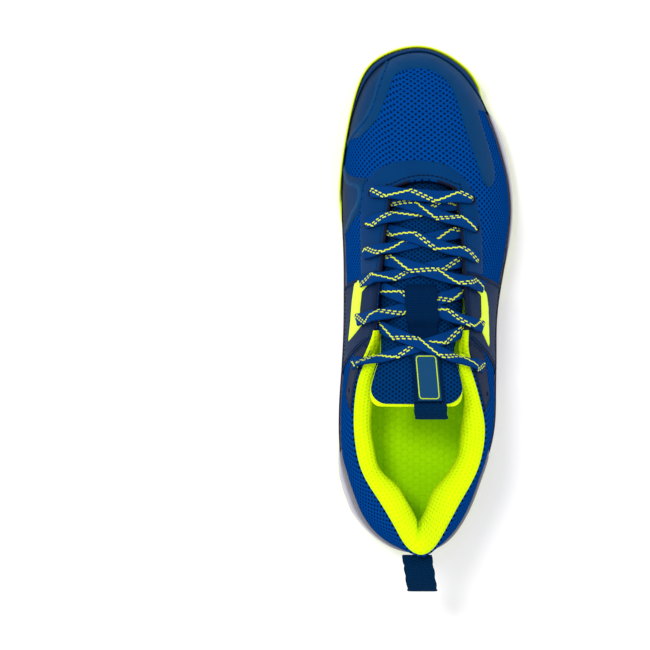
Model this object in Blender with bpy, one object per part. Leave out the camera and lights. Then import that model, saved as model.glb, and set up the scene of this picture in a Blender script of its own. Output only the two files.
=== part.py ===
"""Right-foot court shoe: sole, knit upper with film overlays, padded collar, tongue, lace and tabs."""

import math

import bmesh
import bpy
import numpy as np

# Lengths below are millimetres. +Y is the toe, +X the outer (lateral) side, +Z up.
SOLE_TOE = (-5.0, 158.5)
SOLE_HEEL = (-8.0, -140.4)
UPPER_TOE = (-4.5, 154.2)
UPPER_HEEL = (-7.0, -138.6)
OUTSOLE_THICKNESS = 4.5
KNIT_THICKNESS = 1.2
FILM_THICKNESS = 0.6
GAP = 0.3
SEAM_GAP = 0.5
EYELET_RADIUS = 2.2
SPARE_EYELET_RADIUS = 1.3
LACE_WIDTH = 6.3
LACE_THICKNESS = 1.2
WEBBING_WIDTH = 18.0
WEBBING_THICKNESS = 1.3
TONGUE_HINGE = (76.0, 66.0)
LOOP_HINGE = (-50.4, 120.4)
TAB_HINGE = (-138.9, 86.0)
SOCKLINER_HINGE = (140.0, 26.0)

# Facet sizes of the solids: rows up a wall, cells over the instep, length of a cell along the edge.
WALL_ROWS = 7
CROWN_CELLS = 6
CELL_LENGTH = 8.6
COLLAR_FRONT = -20.0

# Outer edge of the sole, seen from above: lateral side toe to heel, then medial side heel to toe.
SOLE_LATERAL = [
    (10, 155), (20, 149), (27, 142.5), (33.5, 131), (39, 119), (44.3, 107), (48.6, 92),
    (51, 78), (51.9, 66), (51.3, 50), (48.5, 34), (44.5, 18), (41, 0), (38.5, -20),
    (37.5, -40), (37.5, -60), (35.6, -80), (31.6, -97), (26, -113), (17.5, -127.5), (6, -137.6),
]
SOLE_MEDIAL = [
    (-22, -137), (-34.5, -128), (-43.5, -117), (-49, -105), (-51.4, -90), (-50.8, -75),
    (-47.5, -58), (-43.5, -38), (-41.5, -18), (-41.8, 2), (-44, 22), (-47.3, 42),
    (-50.2, 58), (-51.2, 71), (-50.4, 86), (-48.3, 101), (-45.7, 115), (-42.6, 128),
    (-38.6, 139.5), (-31.8, 149), (-20.5, 155.5),
]
# Widest line of the upper, seen from above.
UPPER_LATERAL = [
    (9, 150.5), (19, 143.5), (29, 131.5), (36.3, 118), (41, 106), (44.6, 94), (47.6, 82),
    (49.3, 70), (49.6, 58), (48.6, 47), (46.4, 30), (44.2, 17.5), (42.4, 6), (41.2, -8),
    (41.0, -25), (40.6, -45), (39.9, -65), (36.4, -82), (31.6, -96), (26.2, -111),
    (17.8, -126), (6, -136),
]
UPPER_MEDIAL = [
    (-21, -135), (-31.5, -127.5), (-39.2, -117), (-44, -105), (-47.6, -93), (-50, -80),
    (-50.6, -66), (-50.2, -50), (-48.8, -30), (-47.8, -8), (-47.6, 14), (-47.8, 36),
    (-48.6, 55), (-48.8, 70), (-48, 86), (-46, 101), (-43.2, 115), (-39.6, 127),
    (-34.6, 137.5), (-27, 146), (-16.5, 152),
]
# Throat edge and top line: (position on the edge ring, x, y, z); ring 0 is the toe, 0.5 the heel.
THROAT_LATERAL = [
    (140, 3.5), (120, 11.5), (100, 15.0), (80, 15.4), (68, 15.8), (45, 18.4), (25, 19.6),
    (8, 20.4), (-9, 21.0),
]
THROAT_MEDIAL = [
    (-9, -31.0), (8, -30.0), (25, -27.8), (45, -25.3), (68, -22.0), (80, -21.0), (100, -21.5),
    (120, -19.5), (140, -12.5),
]
TOPLINE_LATERAL = [
    (-20, 20.8, -20.0, 97.0), (-34, 25.0, -34.0, 90.5), (-49, 29.8, -49.0, 82.0),
    (-72, 33.2, -68.0, 76.0), (-90, 30.2, -86.0, 77.0), (-112, 19.6, -106.5, 82.5),
    (-128, 9.0, -125.0, 90.0), (-135, 3.6, -133.0, 94.5),
]
TOPLINE_MEDIAL = [
    (-135, -15.2, -131.5, 94.0), (-128, -20.4, -122.5, 89.5), (-112, -30.2, -106.0, 82.0),
    (-90, -40.4, -87.5, 76.0), (-72, -43.6, -70.0, 74.0), (-49, -43.4, -49.0, 80.5),
    (-34, -40.4, -34.0, 90.0), (-20, -34.6, -20.0, 97.0),
]
TOPLINE_HEEL = (-5.6, -137.6, 97.0)
# Inner edge of the padded collar at its fullest height, in the same order.
PAD_LATERAL = [
    (-20, 12.6, -20.0), (-34, 16.2, -34.5), (-49, 18.0, -50.0), (-72, 16.8, -72.0),
    (-90, 14.0, -84.5), (-112, 5.0, -95.0), (-128, -1.0, -106.0), (-135, -3.4, -112.0),
]
PAD_MEDIAL = [
    (-135, -8.8, -112.0), (-128, -11.0, -106.0), (-112, -17.0, -97.0), (-90, -27.5, -86.0),
    (-72, -31.0, -71.0), (-49, -31.2, -50.0), (-34, -30.6, -34.5), (-20, -27.4, -20.0),
]
PAD_HEEL = (-6.0, -117.0)
# Heights along the shoe: (y, z).
FEATHER_HEIGHT = [
    (-141, 27.0), (-100, 26.5), (-60, 25.0), (-20, 21.5), (20, 17.5), (60, 15.5), (100, 16.5),
    (130, 19.5), (155, 24.0),
]
TREAD_HEIGHT = [(-141, 3.0), (-128, 0.6), (-112, 0.0), (95, 0.0), (125, 2.6), (159, 10.5)]
CROWN_HEIGHT = [
    (154.2, 24.0), (153.0, 34.0), (149, 43.0), (142, 50.0), (132, 56.0), (118, 61.5),
    (100, 67.5), (80, 75.0), (60, 83.0), (30, 93.0), (0, 101.0), (-20, 103.0),
]
THROAT_HEIGHT = [(-9, 97.0), (8, 94.0), (25, 89.5), (45, 84.0), (68, 76.0), (80, 72.0)]

# Eyelets, front to back: (x, y) on the medial side and on the lateral side.
EYELETS_MEDIAL = [(-32, 69.6), (-34.6, 51.8), (-35.4, 33.9), (-37.3, 18), (-39.0, -4), (-41.2, -29)]
EYELETS_LATERAL = [(24.1, 65.4), (26.2, 49), (27.0, 31.7), (29.4, 15), (28.6, -8), (28.6, -31)]
SPARE_EYELETS = [(-45.2, -44.0), (33.6, -46.0)]

COLOURS = {
    "knit": (0.0040, 0.0840, 0.3900, 0.75),
    "film": (0.0010, 0.0450, 0.1700, 0.40),
    "guard": (0.0060, 0.0140, 0.0300, 0.35),
    "indigo": (0.0250, 0.0380, 0.1000, 0.45),
    "neon": (0.7400, 0.9800, 0.0080, 0.70),
    "rim": (0.6300, 0.8000, 0.0060, 0.55),
    "white": (0.8000, 0.8000, 0.8600, 0.55),
    "grey": (0.1700, 0.1700, 0.1800, 0.50),
    "navy": (0.0020, 0.0260, 0.0900, 0.80),
    "lime": (0.2500, 0.5200, 0.0050, 0.80),
    "board": (0.7500, 0.7300, 0.6600, 0.90),
    "foam": (0.7200, 0.7000, 0.5000, 0.95),
    "aglet": (0.0060, 0.0400, 0.1500, 0.25),
    "lace": (0.0040, 0.0600, 0.2900, 0.80),
    "label": (0.0130, 0.0780, 0.2100, 0.45),
    "stiffener": (0.3000, 0.2900, 0.2600, 0.70),
    "shank": (0.0200, 0.0220, 0.0250, 0.35),
}


for leftover in list(bpy.data.objects):
    bpy.data.objects.remove(leftover, do_unlink=True)


def natural_spline(knots, values):
    """A smooth curve through the points, flat outside them."""
    x = np.array(knots, float)
    y = np.array(values, float)
    count = len(x)
    h = np.diff(x)
    matrix = np.eye(count)
    right = np.zeros(count)
    for i in range(1, count - 1):
        matrix[i, i - 1] = h[i - 1]
        matrix[i, i] = 2 * (h[i - 1] + h[i])
        matrix[i, i + 1] = h[i]
        right[i] = 6 * ((y[i + 1] - y[i]) / h[i] - (y[i] - y[i - 1]) / h[i - 1])
    bend = np.linalg.solve(matrix, right)

    def curve(at):
        at = np.clip(np.asarray(at, float), x[0], x[-1])
        i = np.clip(np.searchsorted(x, at) - 1, 0, count - 2)
        u = at - x[i]
        slope = (y[i + 1] - y[i]) / h[i] - h[i] * (2 * bend[i] + bend[i + 1]) / 6
        return y[i] + slope * u + bend[i] * u**2 / 2 + (bend[i + 1] - bend[i]) * u**3 / (6 * h[i])

    return curve


def along(points):
    """A monotone curve through (y, value) points, without overshoot."""
    points = sorted(points)
    x = np.array([p[0] for p in points], float)
    y = np.array([p[1] for p in points], float)
    h = np.diff(x)
    d = np.diff(y) / h
    m = np.zeros(len(x))
    m[0] = d[0]
    m[-1] = d[-1]
    for i in range(1, len(x) - 1):
        if d[i - 1] * d[i] > 0:
            a = 2 * h[i] + h[i - 1]
            b = h[i] + 2 * h[i - 1]
            m[i] = (a + b) / (a / d[i - 1] + b / d[i])

    def curve(at):
        at = np.clip(np.asarray(at, float), x[0], x[-1])
        i = np.clip(np.searchsorted(x, at) - 1, 0, len(x) - 2)
        t = (at - x[i]) / h[i]
        return (
            y[i] * (2 * t**3 - 3 * t**2 + 1)
            + h[i] * m[i] * (t**3 - 2 * t**2 + t)
            + y[i + 1] * (3 * t**2 - 2 * t**3)
            + h[i] * m[i + 1] * (t**3 - t**2)
        )

    return curve


def smooth_step(low, high, at):
    t = np.clip((np.asarray(at, float) - low) / (high - low), 0, 1)
    return t * t * (3 - 2 * t)


def ring_spline(turns, values):
    """A periodic curve over one turn of the edge ring."""
    turns = np.array(turns)
    values = np.array(values)
    return natural_spline(
        np.concatenate([turns - 2 * math.pi, turns, turns + 2 * math.pi]), np.tile(values, 3)
    )


def turn_of(y, toe, heel, medial):
    """Angle on the edge ring of a point at this y: 0 is the toe, pi the heel."""
    turn = math.acos(max(-1, min(1, (y - (toe + heel) / 2) / ((toe - heel) / 2))))
    return 2 * math.pi - turn if medial else turn


def outline(toe, heel, lateral, medial):
    """The plan curve of an edge ring, as a function of its angle."""
    turns = [0.0] + [turn_of(y, toe[1], heel[1], False) for _, y in lateral]
    turns += [math.pi] + [turn_of(y, toe[1], heel[1], True) for _, y in medial]
    x_values = [toe[0]] + [p[0] for p in lateral] + [heel[0]] + [p[0] for p in medial]
    x_curve = ring_spline(turns, x_values)
    middle = (toe[1] + heel[1]) / 2
    reach = (toe[1] - heel[1]) / 2

    def curve(turn):
        return x_curve(np.asarray(turn) % (2 * math.pi)), middle + reach * np.cos(turn)

    return curve


def sole_middle_x(y):
    """The sole's centre line, seen from above."""
    return np.interp(y, [-140, -60, 60, 158], [-8, -5, 0, -5])


sole_edge = outline(SOLE_TOE, SOLE_HEEL, SOLE_LATERAL, SOLE_MEDIAL)
upper_edge = outline(UPPER_TOE, UPPER_HEEL, UPPER_LATERAL, UPPER_MEDIAL)
feather_height = along(FEATHER_HEIGHT)
tread_height = along(TREAD_HEIGHT)


def upper_turn(y, medial):
    return turn_of(y, UPPER_TOE[1], UPPER_HEEL[1], medial)


def ring_of_edge():
    """Splines of x, y and z of the throat edge and top line over the edge ring."""
    rows = [(0.0, UPPER_TOE[0], UPPER_TOE[1], 24.0)]
    throat_height = along(THROAT_HEIGHT)
    for y, x in THROAT_LATERAL:
        rows.append((upper_turn(y, False), x, y, float(throat_height(y))))
    for at, x, y, z in TOPLINE_LATERAL:
        rows.append((upper_turn(at, False), x, y, z))
    rows.append((math.pi,) + TOPLINE_HEEL)
    for at, x, y, z in TOPLINE_MEDIAL:
        rows.append((upper_turn(at, True), x, y, z))
    for y, x in THROAT_MEDIAL:
        rows.append((upper_turn(y, True), x, y, float(throat_height(y))))
    turns = [row[0] for row in rows]
    return [ring_spline(turns, [row[k] for row in rows]) for k in (1, 2, 3)]


def ring_of_pad():
    rows = [(upper_turn(at, False), x, y) for at, x, y in PAD_LATERAL]
    rows.append((math.pi,) + PAD_HEEL)
    rows += [(upper_turn(at, True), x, y) for at, x, y in PAD_MEDIAL]
    turns = [row[0] for row in rows]
    return [natural_spline(turns, [row[k] for row in rows]) for k in (1, 2)]


edge_x, edge_y, edge_z = ring_of_edge()
pad_x, pad_y = ring_of_pad()
crown_turn = natural_spline(
    [upper_turn(y, False) for y, _ in CROWN_HEIGHT], [z for _, z in CROWN_HEIGHT]
)


def slice_of(turn):
    """Lateral and medial widest points and throat edges of the cross slice at this angle."""
    turn = np.asarray(turn, float)
    lateral, y = upper_edge(turn)
    medial, _ = upper_edge(2 * math.pi - turn)
    return lateral, medial, y, edge_x(turn), edge_x(2 * math.pi - turn)


def toe_height(share, turn, y):
    """Height of the rounded toe-box section at a share of the half width, 0 at the middle."""
    base = feather_height(y)
    top = crown_turn(turn)
    return base + (top - base) * np.clip(1 - np.abs(share) ** 2.4, 0, 1) ** (1 / 2.1)


def wall(turn, v):
    """Outer face of the knit: v is 0 at the sole and 1 at the throat edge or top line."""
    turn, v = np.broadcast_arrays(np.asarray(turn, float), np.asarray(v, float))
    medial = turn > math.pi
    folded = np.where(medial, 2 * math.pi - turn, turn)
    wide_x, wide_y = upper_edge(turn)
    base = feather_height(wide_y)
    top_x = edge_x(turn)
    rear = smooth_step(1.62, 1.80, folded)
    top_y = wide_y + (edge_y(turn) - wide_y) * rear
    lean = v**1.7
    rear_x = wide_x + (top_x - wide_x) * lean
    rear_y = wide_y + (top_y - wide_y) * lean
    rear_z = base + (edge_z(turn) - base) * v
    # Round toe-box section, from the widest line to the throat edge.
    lateral_x, medial_x, _, _, _ = slice_of(folded)
    middle = (lateral_x + medial_x) / 2
    half = np.maximum((lateral_x - medial_x) / 2, 1e-6)
    edge_share = (top_x - middle) / half
    side = np.where(medial, -1.0, 1.0)
    share = side * (1 - (1 - np.clip(side * edge_share, 0.02, 0.98)) * v**2.1)
    toe_x = middle + half * share
    toe_z = toe_height(share, folded, wide_y)
    toe = smooth_step(10, 62, wide_y)
    x = toe * toe_x + (1 - toe) * rear_x
    y = toe * wide_y + (1 - toe) * rear_y
    z = toe * toe_z + (1 - toe) * rear_z
    # The lower edge tucks in under the widest line at the waist and heel.
    tuck = 2.2 * (1 - smooth_step(20, 70, wide_y)) * np.clip(1 - v / 0.2, 0, 1) ** 2
    ahead_x, ahead_y = upper_edge(turn + 0.01)
    behind_x, behind_y = upper_edge(turn - 0.01)
    run_x = ahead_x - behind_x
    run_y = ahead_y - behind_y
    run = np.maximum(np.hypot(run_x, run_y), 1e-9)
    return np.stack([x + tuck * run_y / run, y - tuck * run_x / run, z], -1)


def crown(turn, across):
    """Top face between the throat edges: across runs from 0 at the lateral edge to 1 at the medial edge."""
    turn, across = np.broadcast_arrays(np.asarray(turn, float), np.asarray(across, float))
    lateral_x, medial_x, y, lateral_edge, medial_edge = slice_of(turn)
    middle = (lateral_x + medial_x) / 2
    half = np.maximum((lateral_x - medial_x) / 2, 1e-6)
    x = lateral_edge + (medial_edge - lateral_edge) * across
    toe_z = toe_height((x - middle) / half, turn, y)
    lateral_z = edge_z(turn)
    medial_z = edge_z(2 * math.pi - turn)
    rear_z = lateral_z + (medial_z - lateral_z) * across + 4 * (1 - (2 * across - 1) ** 2)
    toe = smooth_step(10, 62, y)
    return np.stack([x, y, toe * toe_z + (1 - toe) * rear_z], -1)


def even_turns(edge, start, stop, length):
    """Angles between start and stop whose points lie about one length apart along the edge."""
    fine = np.linspace(start, stop, 1500)
    lateral = np.stack(edge(fine), -1)
    medial = np.stack(edge(2 * math.pi - fine), -1)
    steps = np.linalg.norm(np.diff(lateral, axis=0), axis=1)
    steps = (steps + np.linalg.norm(np.diff(medial, axis=0), axis=1)) / 2
    reach = np.concatenate([[0], np.cumsum(steps)])
    count = max(2, round(reach[-1] / length))
    return np.interp(np.linspace(0, reach[-1], count + 1), reach, fine)


def base_surface(length, rows, cells):
    """Triangles of the knit's outer face with their corner data: points, normals, turn, v, side."""
    collar = upper_turn(COLLAR_FRONT, False)
    front = even_turns(upper_edge, 0, collar, length)
    rear = even_turns(upper_edge, collar, math.pi, length)
    points = []
    turns = []
    heights = []
    index = {}

    def corner(key, point, turn, v):
        if key not in index:
            index[key] = len(points)
            points.append(point)
            turns.append(turn)
            heights.append(v)
        return index[key]

    shares = np.linspace(0, 1, rows + 1)
    last = len(front) - 1
    grid = []
    for i, turn in enumerate(front):
        line = []
        lateral = wall(turn, shares)
        medial = wall(2 * math.pi - turn, shares)
        top = crown(turn, np.linspace(0, 1, cells + 1))
        for j in range(rows + 1):
            key = "nose" if i == 0 else ("rear", 0, j) if i == last else ("lateral", i, j)
            line.append(corner(key, lateral[j], turn, shares[j]))
        for j in range(1, cells):
            key = "nose" if i == 0 else ("crown", i, j)
            line.append(corner(key, top[j], turn, 1 + min(j, cells - j) / cells))
        for j in range(rows, -1, -1):
            key = "nose" if i == 0 else ("rear", -1, j) if i == last else ("medial", i, j)
            line.append(corner(key, medial[j], 2 * math.pi - turn, shares[j]))
        grid.append(line)
    around = np.concatenate([rear, 2 * math.pi - rear[-2::-1]])
    walls = []
    for c, turn in enumerate(around):
        column = wall(turn, shares)
        name = -1 if c == len(around) - 1 else c
        walls.append([corner(("rear", name, j), column[j], turn, shares[j]) for j in range(rows + 1)])
    faces = []
    for near, far in zip(grid, grid[1:]):
        for j in range(len(near) - 1):
            a, b, c, d = near[j], near[j + 1], far[j + 1], far[j]
            if j < len(near) // 2:
                faces += [(a, b, c), (a, c, d)]
            else:
                faces += [(a, b, d), (b, c, d)]
    for near, far in zip(walls, walls[1:]):
        for j in range(rows):
            a, b, c, d = near[j], near[j + 1], far[j + 1], far[j]
            faces += [(a, b, c), (a, c, d)]
    faces = np.array([f for f in faces if len(set(f)) == 3])
    points = np.array(points)
    corners = points[faces]
    areas = np.cross(corners[:, 1] - corners[:, 0], corners[:, 2] - corners[:, 0])
    normals = np.zeros_like(points)
    for k in range(3):
        np.add.at(normals, faces[:, k], areas)
    normals /= np.linalg.norm(normals, axis=1)[:, None]
    outward = np.sum(normals * (points - np.array([-4, 10, 40])), axis=1)
    if np.median(outward) < 0:
        normals = -normals
        faces = faces[:, ::-1]
    return points, normals, faces, np.array(turns), np.array(heights)


POINTS, NORMALS, FACES, TURNS, HEIGHTS = base_surface(CELL_LENGTH, WALL_ROWS, CROWN_CELLS)
ON_MEDIAL = TURNS > math.pi


def new_object(name, points, faces, colour, parent=None):
    """A mesh object from millimetre points; its material takes the named colour."""
    mesh = bpy.data.meshes.new(name)
    place = np.array(parent.location) * 1000 if parent else np.zeros(3)
    mesh.from_pydata([tuple((np.array(p) - place) / 1000) for p in points], [], faces)
    work = bmesh.new()
    work.from_mesh(mesh)
    bmesh.ops.recalc_face_normals(work, faces=work.faces)
    if work.calc_volume(signed=True) < 0:
        bmesh.ops.reverse_faces(work, faces=work.faces)
    work.to_mesh(mesh)
    work.free()
    item = bpy.data.objects.new(name, mesh)
    bpy.context.scene.collection.objects.link(item)
    red, green, blue, rough = COLOURS[colour]
    material = bpy.data.materials.new(name + "_" + colour)
    material.use_nodes = True
    shader = material.node_tree.nodes["Principled BSDF"]
    shader.inputs["Base Color"].default_value = (red, green, blue, 1)
    shader.inputs["Roughness"].default_value = rough
    mesh.materials.append(material)
    if parent:
        item.parent = parent
    return item


def largest_patch(polygons):
    """The largest group of polygons joined along edges."""
    owner = {}
    joined = list(range(len(polygons)))

    def root(k):
        while joined[k] != k:
            k = joined[k]
        return k

    for number, ring in enumerate(polygons):
        for a, b in zip(ring, ring[1:] + ring[:1]):
            other = owner.setdefault((min(a, b), max(a, b)), number)
            joined[root(number)] = root(other)
    roots = [root(k) for k in range(len(polygons))]
    best = max(set(roots), key=roots.count)
    return [ring for ring, group in zip(polygons, roots) if group == best]


def clipped(inside):
    """The part of the base surface where the corner values are positive: corners and polygons."""
    value = np.where(np.abs(inside) < 0.1, np.where(inside < 0, -0.1, 0.1), inside)
    index = {}
    mix = []
    polygons = []

    def corner(a, b):
        key = (a, a) if b is None else (min(a, b), max(a, b))
        if key not in index:
            index[key] = len(mix)
            if b is None:
                mix.append((a, a, 0.0))
            else:
                low, high = key
                mix.append((low, high, value[low] / (value[low] - value[high])))
        return index[key]

    for face in FACES:
        ring = []
        for a, b in zip(face, np.roll(face, -1)):
            if value[a] > 0:
                ring.append(corner(a, None))
            if (value[a] > 0) != (value[b] > 0):
                ring.append(corner(a, b))
        if len(ring) > 2:
            polygons.append(ring)
    polygons = largest_patch(polygons)
    used = sorted({k for ring in polygons for k in ring})
    order = {k: n for n, k in enumerate(used)}
    polygons = [[order[k] for k in ring] for ring in polygons]
    mix = [mix[k] for k in used]
    low = np.array([m[0] for m in mix])
    high = np.array([m[1] for m in mix])
    share = np.array([m[2] for m in mix])
    return low, high, share, polygons


def layer(name, colour, inside, under, over, parent=None):
    """A closed shell over the positive part of the base surface, between two offsets from it."""
    low, high, share, polygons = clipped(inside)
    count = len(low)
    under = np.broadcast_to(np.asarray(under, float), (len(POINTS),))
    over = np.broadcast_to(np.asarray(over, float), (len(POINTS),))
    levels = []
    for offset in (over, under):
        moved = POINTS + NORMALS * offset[:, None]
        levels.append(moved[low] * (1 - share[:, None]) + moved[high] * share[:, None])
    edges = {}
    for ring in polygons:
        for a, b in zip(ring, ring[1:] + ring[:1]):
            edges[(a, b)] = True
    faces = []
    for ring in polygons:
        faces.append(ring)
        faces.append([a + count for a in reversed(ring)])
    for a, b in edges:
        if (b, a) not in edges:
            faces.append([b, a, a + count, b + count])
    return new_object(name, np.concatenate(levels), faces, colour, parent)


def loft(name, colour, sections, parent=None):
    """A closed solid through equal-length closed sections, capped at both ends."""
    size = len(sections[0])
    points = [p for section in sections for p in section]
    faces = []
    for s in range(len(sections) - 1):
        for k in range(size):
            a = s * size + k
            b = s * size + (k + 1) % size
            faces.append([a, b, b + size, a + size])
    half = size // 2
    for base in (0, (len(sections) - 1) * size):
        for k in range(half - 1):
            quad = [base + k, base + k + 1, base + size - 2 - k, base + size - 1 - k]
            faces.append(quad if base == 0 else quad[::-1])
    return new_object(name, points, faces, colour, parent)


def polygon_distance(x, y, corners):
    """Distance to the edge of a plan polygon, positive inside."""
    corners = np.array(corners, float)
    best = np.full(np.shape(x), 1e9)
    crossings = np.zeros(np.shape(x), int)
    for (ax, ay), (bx, by) in zip(corners, np.roll(corners, -1, axis=0)):
        length = (bx - ax) ** 2 + (by - ay) ** 2
        t = np.clip(((x - ax) * (bx - ax) + (y - ay) * (by - ay)) / length, 0, 1)
        best = np.minimum(best, np.hypot(x - ax - t * (bx - ax), y - ay - t * (by - ay)))
        if ay != by:
            hit = ((y >= ay) != (y >= by)) & (x < ax + (y - ay) * (bx - ax) / (by - ay))
            crossings += hit
    return np.where(crossings % 2 == 1, best, -best)


# Films and panels on the knit. Each value is a distance in millimetres, positive inside the piece.
X = POINTS[:, 0]
Y = POINTS[:, 1]
Z = POINTS[:, 2]
FOLDED = np.where(ON_MEDIAL, 2 * math.pi - TURNS, TURNS)
CROWN = HEIGHTS > 1.0001
LIP_TOP = feather_height(Y) + 5.0
ABOVE_LIP = Z - LIP_TOP - 1.0
lateral_at, medial_at, slice_y, lateral_throat, medial_throat = slice_of(FOLDED)
THROAT_MIDDLE = (lateral_throat + medial_throat) / 2
THROAT_HALF = np.maximum((lateral_throat - medial_throat) / 2, 2.0)
THROAT_FRONT = 80.0
# Distance outside the throat opening, whose front end is an arc.
SIDE_REACH = np.abs(X - THROAT_MIDDLE) - THROAT_HALF
FRONT_ARC = np.minimum(((X - THROAT_MIDDLE) / THROAT_HALF) ** 2, 1.0)
FRONT_REACH = Y - (THROAT_FRONT - 5.0 * FRONT_ARC)
FROM_THROAT = np.maximum(SIDE_REACH, FRONT_REACH)

TOE_WINDOW = [
    (-24, 146), (-16, 148.5), (-4, 149), (6, 147), (14, 141), (21, 127), (27, 106), (33, 84),
    (31, 78), (20, 90), (4, 94), (-12, 92), (-22, 84), (-34, 81), (-44, 82), (-47.5, 88),
    (-47, 98), (-41, 106), (-33, 113), (-28, 124),
]
STRIPE = [(24, 134), (33, 117), (40, 95), (40.5, 82), (37, 79.5), (33, 84), (27, 106), (20, 128)]
GUARD = [
    (-21, 152), (-28.5, 140), (-32, 127), (-36, 117), (-42, 108), (-45, 100), (-45.5, 90),
    (-44, 82), (-37.5, 77), (-37.5, 66), (-40, 60), (-44.5, 54), (-47, 46), (-60, 46),
    (-60, 140), (-38, 160),
]
EYESTAY_REACH = 12.0 + 4.0 * smooth_step(30, 70, Y) * ON_MEDIAL
STRAP_FRONT = 23.8
BRACKET_MEDIAL = [
    (-35, 23), (-39, 23.2), (-43, 18), (-44.8, 8), (-46.9, -17), (-43.8, -9), (-42.8, -2),
    (-42.4, 8), (-41.2, 14), (-40.2, 18.6),
]
BRACKET_LATERAL = [
    (27.5, 21.8), (31, 21), (34.4, 15), (35.2, -2), (35.6, -20), (33.2, -12), (32.8, -2),
    (32.7, 9), (31.9, 14), (30.8, 18),
]


def plan(corners):
    return polygon_distance(X, Y, corners)


knit_inside = np.where(Y > COLLAR_FRONT - 1, FROM_THROAT, 20.0)
toe_film_inside = np.minimum(
    np.maximum(np.minimum(-plan(TOE_WINDOW), Y - 103), plan(STRIPE)), ABOVE_LIP
)
toe_film_inside = np.where(Y < 72, -9.0, toe_film_inside)
guard_inside = np.minimum(plan(GUARD), ABOVE_LIP)
toe_film_inside = np.minimum(toe_film_inside, -plan(GUARD) - SEAM_GAP)
toe_film_inside = np.where(ON_MEDIAL & (Y < 100), -9.0, toe_film_inside)
bracket_inside = [plan(BRACKET_MEDIAL), plan(BRACKET_LATERAL)]
eyestay_inside = np.minimum(FROM_THROAT - 0.8, EYESTAY_REACH - FROM_THROAT)
eyestay_inside = np.minimum(eyestay_inside, Y - STRAP_FRONT - SEAM_GAP)
eyestay_inside = np.minimum(eyestay_inside, -guard_inside - SEAM_GAP)
eyestay_inside = np.where(ON_MEDIAL | CROWN, eyestay_inside, np.minimum(eyestay_inside, -plan(STRIPE) - 1))
foxing_inside = np.minimum(ABOVE_LIP, 8.5 - ABOVE_LIP)
foxing_inside = np.minimum(foxing_inside, np.minimum(101 - Y, Y - 22))
foxing_inside = np.where(ON_MEDIAL, -9.0, foxing_inside)
foxing_inside = np.minimum(foxing_inside, -toe_film_inside - SEAM_GAP)


def strap_inside(medial):
    """Film strap from the rear eyelets down to the sole, ahead of the ankle panel."""
    side = ON_MEDIAL if medial else ~ON_MEDIAL
    lean = (1 - HEIGHTS) * 26
    front = STRAP_FRONT - Y - lean * 0.35
    back = Y + 12.0 + lean
    value = np.minimum(np.minimum(front, back), np.minimum(FROM_THROAT - 0.8, ABOVE_LIP))
    value = np.minimum(value, -foxing_inside - SEAM_GAP)
    return np.where(side & ~CROWN, value, -9.0)


def ankle_inside(medial):
    """Dark panel beside the collar's front end, behind the strap."""
    side = ON_MEDIAL if medial else ~ON_MEDIAL
    lean = (1 - HEIGHTS) * 26
    value = np.minimum(-(Y + 12.0 + lean) - SEAM_GAP, (HEIGHTS - 0.62) * 60)
    value = np.minimum(value, Y + 56 - (1 - HEIGHTS) * 20)
    value = np.minimum(value, np.where(Y > COLLAR_FRONT, FROM_THROAT - 0.8, (0.985 - HEIGHTS) * 60))
    return np.where(side & ~CROWN, value, -9.0)


def heel_band_inside():
    """Moulded band around the heel just above the midsole lip."""
    value = np.minimum(ABOVE_LIP, 9.0 - ABOVE_LIP)
    return np.minimum(value, -78.0 - Y - np.maximum(ABOVE_LIP, 0) * 1.2)


FILM_UNDER = GAP
FILM_OVER = GAP + FILM_THICKNESS
upper = layer("upper_knit_shell", "knit", knit_inside, -KNIT_THICKNESS, 0)
layer("toe_cap_film", "film", toe_film_inside, FILM_UNDER, FILM_OVER)
layer("medial_toe_guard", "guard", guard_inside, FILM_UNDER, 1.5)
eyestay = layer("eyestay_film", "film", eyestay_inside, FILM_UNDER, FILM_OVER)
layer("lateral_sidewall_film", "indigo", foxing_inside, FILM_UNDER, FILM_OVER)
BRACKET_UNDER = FILM_OVER + GAP
layer("medial_side_bracket", "neon", bracket_inside[0], BRACKET_UNDER, BRACKET_UNDER + 0.7)
layer("lateral_side_bracket", "neon", bracket_inside[1], BRACKET_UNDER, BRACKET_UNDER + 0.7)
medial_strap = layer("medial_midfoot_strap", "film", strap_inside(True), FILM_UNDER, FILM_OVER)
lateral_strap = layer("lateral_midfoot_strap", "film", strap_inside(False), FILM_UNDER, FILM_OVER)
medial_ankle = layer("medial_ankle_panel", "indigo", ankle_inside(True), FILM_UNDER, FILM_OVER)
lateral_ankle = layer("lateral_ankle_panel", "indigo", ankle_inside(False), FILM_UNDER, FILM_OVER)
layer("heel_stabiliser_band", "grey", heel_band_inside(), FILM_UNDER, 1.5)


# Inner layers: lining of the forefoot, stiffeners at the toe and heel.
LINING_UNDER = -2.1 - 0.9 * smooth_step(85, 100, Y)
lining_inside = np.minimum(FROM_THROAT - 0.8, Y + 15.5)
lining = layer("forefoot_lining", "navy", lining_inside, LINING_UNDER, LINING_UNDER + FILM_THICKNESS)
puff_inside = np.minimum(Y - 103.0, (Z - feather_height(Y)) - 1.0)
layer("toe_puff", "stiffener", puff_inside, -2.1, -1.5)
counter_inside = np.minimum(-60.0 - Y, np.minimum((HEIGHTS - 0.04) * 60, (0.70 - HEIGHTS) * 60))
layer("heel_counter", "stiffener", counter_inside, -3.1, -1.5)


def paired_ring(edge, turns):
    """Lateral points toe to heel, then medial points heel to toe, of an edge ring."""
    lateral = np.stack(edge(turns), -1)
    medial = np.stack(edge(2 * math.pi - turns), -1)
    return np.concatenate([lateral, medial[-2:0:-1]])


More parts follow.
